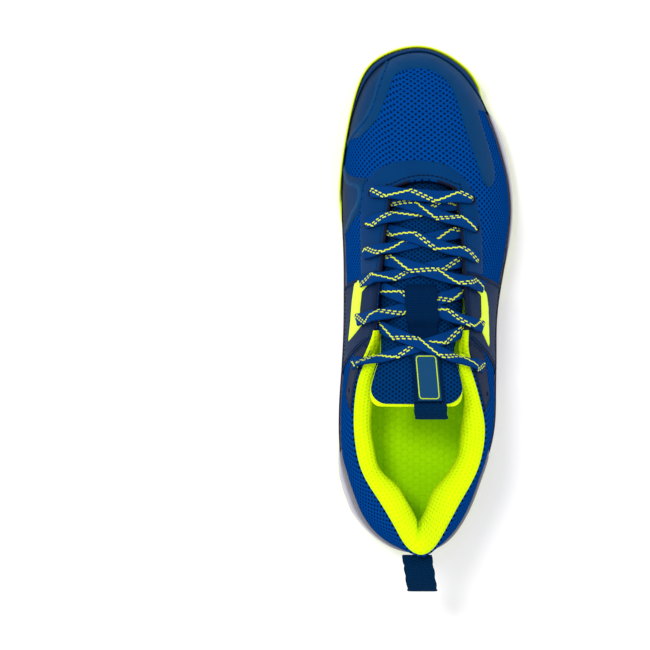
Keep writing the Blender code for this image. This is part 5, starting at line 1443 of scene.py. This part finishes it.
def ankle_inside(medial):
    """Dark panel beside the collar's front end, behind the strap."""
    side = ON_MEDIAL if medial else ~ON_MEDIAL
    lean = (1 - HEIGHTS) * STRAP_LEAN
    value = soft_least(-(Y - STRAP_BACK + lean) - SEAM_GAP, (HEIGHTS - 0.62) * 60)
    value = soft_least(value, Y + 58 - lean)
    value = np.minimum(value, np.where(Y > COLLAR_FRONT, FROM_THROAT - 0.8, (0.985 - HEIGHTS) * 60))
    return np.where(side & ~CROWN, value, NOWHERE)


def heel_band_inside():
    """Moulded band around the heel just above the midsole lip."""
    value = np.minimum(ABOVE_LIP, HEEL_BAND_HEIGHT - ABOVE_LIP)
    return np.minimum(value, HEEL_BAND_FRONT - Y - np.maximum(ABOVE_LIP, 0) * 1.2)


EYELETS = [(seat(*at, True)[0], True) for at in EYELETS_MEDIAL]
EYELETS += [(seat(*at, False)[0], False) for at in EYELETS_LATERAL]
SPARES = [seat(*at, medial)[0] for at, medial in zip(SPARE_EYELETS, (True, False))]
FROM_EYELET = np.min([np.linalg.norm(POINTS - at, axis=1) for at, _ in EYELETS], axis=0)
FROM_SPARE = np.min([np.linalg.norm(POINTS - at, axis=1) for at in SPARES], axis=0)
RISE = np.maximum(ABOVE_LIP, 0)
named = {"rise": RISE}
punched = np.minimum(FROM_EYELET - EYELET_RADIUS, FROM_SPARE - SPARE_EYELET_RADIUS)

EYESTAY_OUTER = [
    (-38.4, 10), (-38.8, 40), (-38.9, 59), (-37.3, 73), (-30.8, 83), (-20, 87.2), (-8, 88.4), (6.6, 87),
    (17, 82), (25.4, 71.5), (29.1, 57), (30.8, 42), (31.5, 10),
]
BRACKET_MEDIAL = [
    (-41.9, 17.4), (-36.4, 22.4), (-36.8, 18.6), (-32.2, 18.9), (-37.8, 12.6), (-39.0, 2.7),
    (-39.4, -5.2), (-35.6, -3.4), (-45.4, -16.4), (-44.3, -6.0), (-43.2, 8.0),
]
BRACKET_LATERAL = [
    (27.6, 18.6), (33.2, 12.0), (34.4, 4.0), (35.2, -19.6), (29.6, -9.6), (26.5, -5.4), (30.0, -2.0),
    (29.6, 10.4), (27.3, 12.6),
]


rng = np.random.default_rng(4)
waves = [(rng.normal(0, 1, 3), rng.uniform(0, 6.28)) for _ in range(9)]
ripple = sum(np.sin(POINTS @ (k / np.linalg.norm(k)) * 0.32 + p) for k, p in waves) / 9
knit_over = ripple * 0.35 * smooth_step(1.5, 8, FROM_THROAT)

knit = shell("knit_upper", np.minimum(knit_inside, punched), -KNIT_THICKNESS, knit_over, 0.9, 0.7)
place(knit, MATERIAL["knit"], "shoe", ["upper_knit_shell"])
# The ridge raises the guard and carries a painted highlight along its crest.
ridge = np.exp(-((plan(rounded(GUARD_RIDGE)) / 0.8) ** 2))
eyestay_look = np.minimum(plan(rounded(EYESTAY_OUTER)), FROM_THROAT - 0.5)
eyestay_look = np.minimum(eyestay_look, Y - STRAP_FRONT + (1 - HEIGHTS) * 9.1 - SEAM_GAP)
guard_inside = np.minimum(guard_inside, -eyestay_look - SEAM_GAP)
# Towards the rear of the guard its painted sheen and shade reach up to twice as high.
named_guard = {"rise": RISE * (0.5 + 0.5 * smooth_step(78, 108, Y)), "ridge": ridge}
overlays = [
    ("toe_cap", toe_film_inside, 0.4, "film_toe", "toe_cap_film", "film_toe"),
    ("toe_guard", guard_inside, 0.5 + 0.7 * ridge, "guard", "medial_toe_guard", "toe_guard"),
    ("eyestay", np.minimum(eyestay_look, punched), 0.5, "film_eyestay", "eyestay_film", "film_eyestay"),
    ("side_film", foxing_inside, 0.35, "film_side", "lateral_sidewall_film", "film_side"),
]
SIDE_PANELS = (("strap", strap_inside, "midfoot_strap"), ("ankle", ankle_inside, "ankle_panel"))
for part, inside_of, node in SIDE_PANELS:
    for side, medial in SIDES:
        inside = np.minimum(inside_of(medial), punched)
        overlays.append((f"{part}_{side}", inside, 0.45, part, f"{side}_{node}", part))
for name, inside, over, material, node, slot in overlays:
    follow = knit_over * 0.6
    values = named_guard if name == "toe_guard" else named
    item = shell(name, inside, 0.02 + follow, over + follow, 0.9, 0.06, values, thin=True)
    place(item, MATERIAL[material], "shoe", [node])
for side, medial in SIDES:
    corners = BRACKET_MEDIAL if medial else BRACKET_LATERAL
    inside = np.where(HEIGHTS < 1.001, np.minimum(plan(corners), punched), NOWHERE)
    item = shell("bracket_" + side, inside, 0.3, 1.15, 0.8, 0.1, thin=True)
    place(item, MATERIAL["bracket"], "shoe", [f"{side}_side_bracket"])
band = shell("heel_band", heel_band_inside(), 0.05, 1.5, 2.2, 0.15, named, thin=True)
place(band, MATERIAL["heel_band"], "shoe", ["heel_stabiliser_band"])

# Sewing, and the bound edges beside the throat.
front_seam = iso_lines(FROM_THROAT, 2.6, (Y > 66) & (Z > 40))
place(stitches("seam_throat_front", front_seam, 0.85), MATERIAL["thread"], "shoe")
side_seam = iso_lines(FROM_THROAT, 2.0, (Y < 66) & (Y > COLLAR_FRONT) & (HEIGHTS < 1.001))
FINE_SEAM = (2.4, 1.7, 0.34)
place(stitches("seam_throat_sides", side_seam, 0.85, *FINE_SEAM), MATERIAL["thread_blue"], "shoe")
panel_seams = []
for inside_of, clear in ((strap_inside, 3.2), (ankle_inside, -99.0)):
    for inside in (inside_of(True), inside_of(False)):
        panel_seams += iso_lines(inside, 1.7, (inside > -1) & (HEIGHTS < 1.001) & (FROM_THROAT > clear))
place(stitches("seam_side_panels", panel_seams, 0.8, *FINE_SEAM), MATERIAL["thread_blue"], "shoe")


def bead(name, lines, blur, lift, width, depth, material):
    """A rounded cord or binding along surface lines."""
    parts = []
    for rows in lines:
        line = even_line(rows, 1.2, blur)
        parts.append(tube(line[:, :3] + line[:, 3:] * lift, line[:, 3:], width, depth, 8))
    points, faces = many(parts)
    place(make_mesh(name, points, faces), MATERIAL[material], "shoe")


def eyelet_rims():
    """A raised ring around every laced eyelet."""
    rings = []
    t = np.linspace(0, 2 * math.pi, 29)[:, None]
    for at, medial in EYELETS:
        _, normal = seat(at[0], at[1], medial)
        helper = np.cross(normal, [0.0, 1.0, 0.0])
        helper /= np.linalg.norm(helper)
        other = np.cross(normal, helper)
        loop = at + normal * 0.75 + (helper * np.cos(t) + other * np.sin(t)) * 2.55
        rings.append(tube(loop, np.broadcast_to(normal, loop.shape), 0.9, 0.7, 8, False))
    points, faces = many(rings)
    place(make_mesh("eyelet_rims", points, faces), MATERIAL["edge"], "shoe")


piping = []
for medial in (True, False):
    inside = strap_inside(medial)
    piping += iso_lines(inside, 0.25, (np.abs(inside) < 4) & (FROM_THROAT > 2.5) & (RISE > 0.6))
bead("strap_piping", piping, 2, 0.4, 0.9, 0.6, "ankle")
binding = iso_lines(FROM_THROAT, 0.35, (Y > COLLAR_FRONT) & (HEIGHTS < 1.6))
bead("throat_binding", binding, 4, -0.25, 1.5, 2.2, "edge")
eyelet_rims()


# ---------------------------------------------------------------- collar
def collar_surface(turn, count):
    """Fine section of the collar lining's visible face at this angle."""
    profile = pad_profile(turn)
    top = profile[0][1] + 1.6
    profile = np.concatenate([[(-0.7, top - 2.2), (-0.75, top - 0.9), (-0.3, top + 0.2)], profile[1:]])
    run = run_length(profile)
    fine = np.linspace(0, 1, count) ** 0.92 * run[-1]
    reach = natural_spline(run, profile[:, 0])(fine)
    height = natural_spline(run, profile[:, 1])(fine)
    line = np.array([collar_point(turn, r, z) for r, z in zip(reach, height)])
    return line, fine


COLLAR_COUNT = 56


def collar_pad():
    """The padded collar, from one throat edge round the heel to the other, with its heel crease."""
    start = turn_of(-23.0, UPPER_TOE[1], UPPER_HEEL[1], False)
    half = even_turns(upper_edge, start, math.pi, 1.5)
    turns = np.concatenate([half, 2 * math.pi - half[-2::-1]])
    sections = [collar_surface(turn, COLLAR_COUNT) for turn in turns]
    face = np.array([line for line, _ in sections])
    down = np.array([fine for _, fine in sections])
    around = run_length(face[:, 8])
    around = (around - around[len(half) - 1])[:, None]
    normal = np.cross(np.gradient(face, axis=0), np.gradient(face, axis=1))
    normal /= np.maximum(np.linalg.norm(normal, axis=-1), 1e-9)[..., None]
    if normal[:, 6, 2].mean() < 0:
        normal = -normal
    fold = -3.0 * np.exp(-(((around - 0.8) / 1.3) ** 2))
    fold = fold * smooth_step(6, 14, down) * smooth_step(34, 24, down)
    pucker = 0.22 * np.sin(around * 2 * math.pi / 3.1) * smooth_step(62, 18, np.abs(around))
    pucker = pucker * smooth_step(5, 12, down) * smooth_step(30, 18, down)
    slow = 0.45 * np.sin(around * 0.11 + 1.0) * np.sin(down * 0.16) + 0.3 * np.sin(around * 0.23)
    slow = slow * smooth_step(34, 24, down)
    face = face + normal * (fold + pucker + slow * smooth_step(4, 12, down))[..., None]
    # Both ends sink in under the throat edge.
    ends = np.minimum(np.arange(len(turns)), np.arange(len(turns))[::-1]) / 4.0
    sink = 1.6 * (1 - np.clip(ends, 0, 1)) ** 2
    face = face - normal * sink[:, None, None]
    uv = np.stack([down, np.broadcast_to(around, down.shape)], -1)
    points, faces, uv = sheet_grid(face, normal, np.full(down.shape, -1.0), np.zeros(down.shape), uv)
    return outward(make_mesh("collar_pad", points, faces, uv))


def lining_fold(side, medial):
    """Lining folded under the last stretch of a throat edge, ahead of the collar pad."""
    out = -1.0 if medial else 1.0
    grid = []
    for y in np.linspace(-26.0, -9.5, 15):
        top = wall(upper_turn(y, medial), 1.0)
        ragged = 0.5 * math.sin(y * 2.9) + 0.4 * math.sin(y * 5.3 + 1) if y > -11 else 0.0
        grid.append([
            top + np.array([-out * (0.6 + 2.9 * s) + out * 1.4, ragged, 0.3 - 0.9 * s - 2.6 * s * s])
            for s in np.linspace(0, 1.7, 7)
        ])
    grid = np.array(grid)
    thick = np.full(grid.shape[:2], 0.5)
    points, faces, uv = sheet_grid(grid, grid_normals(grid), -thick, thick, grid[..., :2].copy())
    return outward(make_mesh("lining_fold_" + side, points, faces, uv))


collar = collar_pad()
place(collar, MATERIAL["collar"], "shoe", ["collar_lining", "collar_foam"])
for side, medial in SIDES:
    place(lining_fold(side, medial), MATERIAL["collar"], "shoe")


# ---------------------------------------------------------------- tongue
def tongue_top(x, y):
    """The padded tongue's outer face: its free end domes up."""
    share = (x - tongue_middle(y)) / tongue_half(y)
    puff = 1.7 * smooth_step(-13, -26, y) * np.clip(1 - share**2, 0, 1)
    puff = puff - 1.4 * smooth_step(-40, -50, y) * share**2
    return tongue_point(x, y) + puff


def leaf(name, front, back, wider, lowered, thick, corner, material, node):
    """A padded leaf with rounded edges and rounded rear corners."""
    rounding = 1 - np.sin(np.linspace(0.08, 1, 15) * math.pi / 2)
    rows = np.concatenate([np.linspace(front, back + corner, 76), back + corner * rounding])
    around_count = 64
    c, s = squared(np.arange(around_count) * 2 * math.pi / around_count, 0.42, 0.75)
    points = []
    uv = []
    for y in rows:
        t = np.clip((back + corner - y) / corner, 0, 1)
        round_off = math.sqrt(max(1 - t * t, 0.0))
        half = float(tongue_half(y)) + wider - corner * (1 - round_off)
        end = math.sqrt(max(1 - np.clip((back + thick * 0.6 - y) / (thick * 0.6), 0, 1) ** 2, 0.03))
        x = float(tongue_middle(y)) + half * c
        z = tongue_top(np.clip(x, -90, 90), y) - lowered - thick / 2 + thick / 2 * s * end
        points.append(np.stack([x, np.full_like(x, y), z], -1))
        uv.append(np.stack([half * c * 1.1, np.full_like(x, y)], -1))
    faces = ring_quads(len(rows), around_count)
    faces += [face[::-1] for face in end_caps(len(rows), around_count)]
    item = outward(make_mesh(name, np.concatenate(points), faces, np.concatenate(uv)))
    place(item, MATERIAL[material], "tongue", node)
    return item


leaf("tongue_cover", 78.0, -50.6, 0.0, 0.0, 1.9, 8.5, "tongue", ["tongue_outer_mesh"])
tongue_pad = leaf(
    "tongue_pad", 70.0, -52.2, 0.2, 1.5, 4.6, 5.5, "tongue_lining", ["tongue_lining", "tongue_foam"]
)


def strip(name, front, back, width, clearance, thick, material, node, slot, lift=True):
    """A flat band down the middle of the tongue; lift carries it over the lace crossing that it holds."""
    y, share = np.meshgrid(np.linspace(front, back, 80), np.linspace(-0.5, 0.5, 15), indexing="ij")
    x = strip_middle(y) + width * share
    face = np.stack([x, y, tongue_top(x, y)], -1)
    normal = grid_normals(face)
    under = (strip_lift(y) if lift else 0.0) + clearance + 0.0 * y
    round_off = np.sqrt(np.clip(1 - (np.abs(share) * 2) ** 10, 0.0, 1))
    over = under + thick * (0.35 + 0.65 * round_off)
    points, faces, uv = sheet_grid(face, normal, under, over, np.stack([x, y], -1))
    item = outward(make_mesh(name, points, faces, uv))
    return place(item, MATERIAL[material], "tongue", node)


KEEPER_WIDTH = 16.6
LABEL_WIDTH = 12.4
LABEL_REACH = (-24.6, -49.4)
ON_KEEPER = STRIP_GAP + 1.25
strip(
    "keeper_webbing", STRIP_FRONT, STRIP_BACK - 1.0, KEEPER_WIDTH, 0.0, 1.4,
    "keeper", ["tongue_webbing_keeper"], "webbing",
)
strip("label_field", *LABEL_REACH, LABEL_WIDTH, ON_KEEPER, 0.9, "label", ["tongue_label"], "label", lift=False)


def label_border():
    """Rounded rectangle just above the label, as points and normals."""
    corner = 1.6
    high, low, half = -25.4, -48.6, 5.5
    points = []
    for cx, cy, start in (
        (half - corner, high - corner, 0), (-half + corner, high - corner, 90),
        (-half + corner, low + corner, 180), (half - corner, low + corner, 270),
    ):
        for angle in np.radians(np.linspace(start, start + 90, 8)):
            points.append((cx + corner * math.cos(angle), cy + corner * math.sin(angle)))
    points = np.array(points + points[:1])
    run = run_length(points)
    at = np.linspace(0, run[-1], 90)
    x = np.interp(at, run, points[:, 0])
    y = np.interp(at, run, points[:, 1])
    x = x + strip_middle(y)
    slope = (tongue_top(x, y + 0.5) - tongue_top(x, y - 0.5))
    normal = np.stack([np.zeros_like(slope), -slope, np.ones_like(slope)], -1)
    normal /= np.linalg.norm(normal, axis=1)[:, None]
    place_at = np.stack([x, y, tongue_top(x, y)], -1) + normal * (STRIP_GAP + 2.2)
    return place_at, normal


border, border_normal = label_border()
points, faces = tube(border, border_normal, 0.6, 0.5, 8)
place(make_mesh("label_border", points, faces), MATERIAL["neon_thread"], "tongue")


def folded_webbing(name, spine, middle, width, lean, body, node):
    """A loop of webbing whose flat band follows the spine points (y, z)."""
    spine = np.array(spine)
    run = run_length(spine)
    at = np.linspace(0, run[-1], int(run[-1] / 0.6))
    y = natural_spline(run, spine[:, 0])(at)
    z = natural_spline(run, spine[:, 1])(at)
    share = np.linspace(-1, 1, 25)
    drift = middle + lean * (y[0] - y)[:, None]
    wave = 0.25 * np.sin(at * 0.8)[:, None] * share[None, :]
    face = np.stack(np.broadcast_arrays(drift + width / 2 * share + wave, y[:, None], z[:, None]), -1)
    normal = np.cross(np.gradient(face, axis=0), np.gradient(face, axis=1))
    normal /= np.linalg.norm(normal, axis=-1)[..., None]
    plump = 0.3 + 0.4 * np.sqrt(np.clip(1 - np.abs(share) ** 8, 0, 1))
    plump = np.broadcast_to(plump, face.shape[:2])
    uv = np.stack(np.broadcast_arrays(width / 2 * share[None, :], at[:, None]), -1)
    points, faces, uv = sheet_grid(face, normal, -plump, plump, uv)
    item = outward(make_mesh(name, points, faces, uv))
    return place(item, MATERIAL["webbing"], body, [node])


folded_webbing("tongue_loop_webbing", loop_spine, -0.8, WEBBING_WIDTH, 0.1, "tongue_loop", "tongue_pull_loop")
TAB_LOOK = [(-137.4, 87.8)] + tab_spine + [(-138.6, 85.6)]
folded_webbing("heel_tab_webbing", TAB_LOOK, -7.2, 16.8, 0.16, "heel_tab", "heel_pull_tab")


# ---------------------------------------------------------------- lace
def lace_band():
    """The lace as a plump flat braid, squeezed where it passes an eyelet."""
    line, ways, _ = smooth_path(lace_path(), 1.2)
    for _ in range(7):
        line[1:-1] = (line[:-2] + 2 * line[1:-1] + line[2:]) / 4
        ways[1:-1] = (ways[:-2] + 2 * ways[1:-1] + ways[2:]) / 4
    run = np.gradient(line, axis=0)
    run /= np.linalg.norm(run, axis=1)[:, None]
    seats = np.array([SEATS[row][side][0] for row in range(6) for side in "ml"])
    near = np.min(np.linalg.norm(line[:, None] - seats[None], axis=2), axis=1)
    width = 7.4 - 2.6 * smooth_step(3.6, 1.2, near)
    depth = 1.6 + 0.7 * smooth_step(3.6, 1.2, near)
    side = ways - run * np.sum(ways * run, axis=1)[:, None]
    side /= np.linalg.norm(side, axis=1)[:, None]
    up = np.cross(side, run)
    sides = 20
    section = squared(np.arange(sides) * 2 * math.pi / sides, 0.75, 0.8)
    rings = swept(line, side, up, width, depth, section)
    uv = np.stack(np.broadcast_arrays(section[0][None, :] * 3.3, run_length(line)[:, None]), -1)
    faces = ring_quads(len(line), sides) + end_caps(len(line), sides)
    return outward(make_mesh("lace_braid", rings.reshape(-1, 3), faces, uv.reshape(-1, 2)))


place(lace_band(), MATERIAL["lace"], "shoe", ["lace"])


# ---------------------------------------------------------------- insole and sole
def paired_ring(edge, turns):
    """Lateral points toe to heel, then medial points heel to toe, of an edge ring."""
    lateral = np.stack(edge(turns), -1)
    medial = np.stack(edge(2 * math.pi - turns), -1)
    return np.concatenate([lateral, medial[-2:0:-1]])


def inset_ring(ring, distance):
    """The ring moved inwards along its plan normal."""
    ahead = np.roll(ring, -1, axis=0)
    behind = np.roll(ring, 1, axis=0)
    run = ahead - behind
    run /= np.linalg.norm(run, axis=1)[:, None]
    inward = np.stack([run[:, 1], -run[:, 0]], -1)
    centre = ring.mean(axis=0)
    if np.sum(inward * (centre - ring)) < 0:
        inward = -inward
    return ring + inward * np.reshape(distance, (-1, 1))


def insole_sheet():
    """The loose insole: a cupped sheet across the last's footbed."""
    turns = even_turns(upper_edge, 0, math.pi, 2.4)
    ring = paired_ring(upper_edge, turns)
    y = ring[:, 1]
    ring = inset_ring(ring, 6.1 + 2.4 * smooth_step(-70, -100, y) - 0.9 * smooth_step(40, 60, y))
    lateral = ring[: len(turns)][1:-1]
    medial = np.concatenate([ring[:1], ring[len(turns):][::-1], ring[len(turns) - 1:len(turns)]])[1:-1]
    share = np.linspace(0, 1, 41)[None, :, None]
    flat = lateral[:, None] * (1 - share) + medial[:, None] * share
    across = (share[..., 0] * 2 - 1)
    cup = 1.6 * np.abs(across) ** 5 - 0.5
    z = feather_height(flat[..., 1]) + 6.0 + cup
    face = np.concatenate([flat, z[..., None]], -1)
    normal = grid_normals(face)
    under = np.full(z.shape, -3.6)
    over = -0.9 * np.broadcast_to(np.abs(across) ** 24, z.shape)
    points, faces, uv = sheet_grid(face, normal, under, over, flat.copy())
    return outward(make_mesh("insole_sheet", points, faces, uv))


place(insole_sheet(), MATERIAL["insole"], "insole", ["sockliner"])


def strips(count):
    """Quads and end triangles that close a ring of paired points."""
    faces = []
    for i in range(count // 2):
        face = []
        for k in (i, i + 1, count - i - 1, count - i):
            if k % count not in face:
                face.append(k % count)
        if len(face) > 2:
            faces.append(face)
    return faces


def stacked(name, rings, caps, attributes=None):
    """A closed piece through rings of equal count."""
    count = len(rings[0])
    faces = ring_quads(len(rings), count)
    last = (len(rings) - 1) * count
    for face in caps:
        faces.append(face[::-1])
        faces.append([k + last for k in face])
    return outward(make_mesh(name, np.concatenate(rings), faces, attributes=attributes))


def raised(ring, height):
    return np.column_stack([ring, np.broadcast_to(height, len(ring))])


WRAP_THICKNESS = 1.0
FOREFOOT_BACK = 6.0
HEEL_FRONT = -38.0
SOLE_CELL = 2.2


def midsole_foam():
    """Foam midsole: a softly hollowed wall with one groove, and a rolled lip around the upper."""
    turns = even_turns(sole_edge, 0, math.pi, SOLE_CELL)
    sole_ring = paired_ring(sole_edge, turns)
    upper_ring = paired_ring(upper_edge, turns)
    feather = feather_height(upper_ring[:, 1])
    lateral = sole_ring[:, 0] > sole_middle_x(sole_ring[:, 1])
    wrap = np.where(lateral, smooth_step(116, 124, sole_ring[:, 1]), smooth_step(52, 60, sole_ring[:, 1]))
    wall_inset = (WRAP_THICKNESS + GAP) * wrap
    room = polygon_distance(upper_ring[:, 0], upper_ring[:, 1], sole_ring)
    lip_inner = inset_ring(upper_ring, -0.8)
    width = np.clip(room - 0.35 - wall_inset - 0.35 * wrap, 0.5, 3.6)
    lip_outer = inset_ring(upper_ring, -0.45 - width)
    foot_outer = inset_ring(sole_ring, wall_inset + 0.3)
    arch = smooth_step(-42, -28, sole_ring[:, 1]) * (1 - smooth_step(0, 14, sole_ring[:, 1]))
    bottom = tread_height(sole_ring[:, 1]) + OUTSOLE_THICKNESS + GAP + arch * (2.6 + GAP)
    rings = [
        raised(inset_ring(sole_ring, wall_inset + 1.2), bottom),
        raised(inset_ring(sole_ring, wall_inset + 0.6), bottom + 0.9),
    ]
    for t in np.linspace(0, 1, 15):
        hollow = (0.9 * math.sin(math.pi * t) + 0.55 * math.exp(-(((t - 0.62) / 0.06) ** 2))) * (1 - wrap)
        ring = foot_outer * (1 - t) + lip_outer * t
        ring = inset_ring(ring, hollow)
        rings.append(raised(ring, (bottom + 2.2) * (1 - t) + (feather + 1.0) * t))
    for a in np.linspace(0.15, 1, 7):
        ring = lip_outer * (1 - 0.5 * a**3) + lip_inner * 0.5 * a**3
        rings.append(raised(ring, feather + 1.0 + 3.9 * math.sin(a * math.pi / 2)))
    rings.append(raised(lip_inner, feather + 4.6))
    rings.append(raised(lip_inner, feather - GAP))
    facing = np.concatenate([np.zeros(15), [0.5, 0.9], np.ones(len(rings) - 17)])
    wrapped = {"wrap": np.outer(facing, smooth_step(0.2, 0.9, wrap)).ravel()}
    return stacked("midsole_foam", rings, strips(len(sole_ring)), wrapped)


place(midsole_foam(), MATERIAL["midsole"], "shoe", ["midsole"])


def cut_ring(front, back):
    """A fine ring of the sole edge between two y values, and the faces that cap it."""
    start = turn_of(front, SOLE_TOE[1], SOLE_HEEL[1], False) if front is not None else 0.0
    stop = turn_of(back, SOLE_TOE[1], SOLE_HEEL[1], False) if back is not None else math.pi
    turns = even_turns(sole_edge, start, stop, SOLE_CELL)
    lateral = np.stack(sole_edge(turns), -1)
    medial = np.stack(sole_edge(2 * math.pi - turns), -1)
    first = 1 if front is None else 0
    last = len(turns) - 1 if back is None else len(turns)
    ring = np.concatenate([lateral, medial[first:last][::-1]])
    count = len(ring)
    caps = []
    for i in range(len(turns) - 1):
        ends = [i, i + 1, (count - 1 - i - 1 + first) % count, (count - 1 - i + first) % count]
        face = [k for n, k in enumerate(ends) if k not in ends[:n]]
        if len(face) > 2:
            caps.append(face)
    return ring, caps


def outsole_front():
    ring, caps = cut_ring(None, FOREFOOT_BACK)
    lateral = ring[:, 0] > sole_middle_x(ring[:, 1])
    wrap = np.where(lateral, smooth_step(129, 135, ring[:, 1]), smooth_step(67, 74, ring[:, 1]))
    tread = tread_height(ring[:, 1])
    top = tread + OUTSOLE_THICKNESS
    rise = wrap * (feather_height(ring[:, 1]) + 5.2 - top)
    foot = ((2.5, 0.0), (1.0, 0.6), (0.25, 1.5))
    rings = [raised(inset_ring(ring, inset), tread + up) for inset, up in foot]
    for t in np.linspace(0.05, 0.95, 9):
        dip = 0.18 * math.sin(t * math.pi * 6) * wrap
        rings.append(raised(inset_ring(ring, 0.05 + dip * 0.5), tread + 2.2 + (top + rise - tread - 2.2) * t))
    rings.append(raised(inset_ring(ring, 0.2), top + rise - 0.12 * wrap))
    rings.append(raised(inset_ring(ring, 0.5), top + rise))
    rings.append(raised(inset_ring(ring, WRAP_THICKNESS), top + rise - 0.1 * wrap))
    rings.append(raised(inset_ring(ring, WRAP_THICKNESS + 0.05), top))
    return stacked("outsole_front_rubber", rings, caps)


def outsole_back():
    ring, caps = cut_ring(HEEL_FRONT, None)
    tread = tread_height(ring[:, 1])
    rings = [raised(inset_ring(ring, inset), tread + rise) for inset, rise in (
        (2.5, 0.0), (1.3, 0.6), (0.7, 1.5), (0.4, 2.4), (0.55, 3.2), (0.4, 4.0), (0.5, OUTSOLE_THICKNESS)
    )]
    return stacked("outsole_heel_rubber", rings, caps)


place(outsole_front(), MATERIAL["tread"], "shoe", ["outsole_forefoot"])
place(outsole_back(), MATERIAL["tread"], "shoe", ["outsole_heel"])

# Inner layers that stay as the CAD made them.
for node, material in (
    ("toe_puff", moulded_material("toe_puff_sheet", linear(120, 116, 104), 0.7)),
    ("heel_counter", moulded_material("heel_counter_sheet", linear(120, 116, 104), 0.7)),
    ("strobel_board", plain_cloth("board_cloth", linear(206, 204, 196), 0.9)),
    ("midfoot_shank", moulded_material("shank_plastic", linear(24, 48, 96), 0.4, 0.3)),
    ("forefoot_lining", MATERIAL["inner"]),
    ("lace_aglet_lateral", MATERIAL["aglet"]),
    ("lace_aglet_medial", MATERIAL["aglet"]),
):
    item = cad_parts[node]
    item.data.materials.clear()
    item.data.materials.append(material)


# ---------------------------------------------------------------- floor and light
def floor_sheet():
    half = 3.0
    mesh = bpy.data.meshes.new("floor")
    corners = [(-half, -half, 0), (half, -half, 0), (half, half, 0), (-half, half, 0)]
    mesh.from_pydata(corners, [], [(0, 1, 2, 3)])
    item = bpy.data.objects.new("floor", mesh)
    bpy.context.scene.collection.objects.link(item)
    s = Shade("floor_paper")
    x, y, z = s.place()
    fine = s.noise(s.vector(x, y, z), 0.4, 2.0)
    tone = s.blend(fine, (0.95, 0.95, 0.952), (0.965, 0.965, 0.967))
    item.data.materials.append(s.done(tone, 0.9, specular=0.1))
    item.location.z = -0.0005
    return item


floor_sheet()


def area_light(name, place_at, target, size, power):
    data = bpy.data.lights.new(name, "AREA")
    data.shape = "DISK"
    data.size = size
    data.energy = power
    item = bpy.data.objects.new(name, data)
    item.location = place_at
    way = np.array(target) - np.array(place_at)
    item.rotation_euler = mathutils.Vector(way).to_track_quat("-Z", "Y").to_euler()
    bpy.context.scene.collection.objects.link(item)


area_light("key_light", (-0.6, 0.5, 2.2), (0, 0, 0.05), 0.5, 19.0)
world = bpy.data.worlds.new("studio")
world.use_nodes = True
world.node_tree.nodes["Background"].inputs["Color"].default_value = (1.0, 1.0, 1.0, 1)
world.node_tree.nodes["Background"].inputs["Strength"].default_value = 1.0
bpy.context.scene.world = world
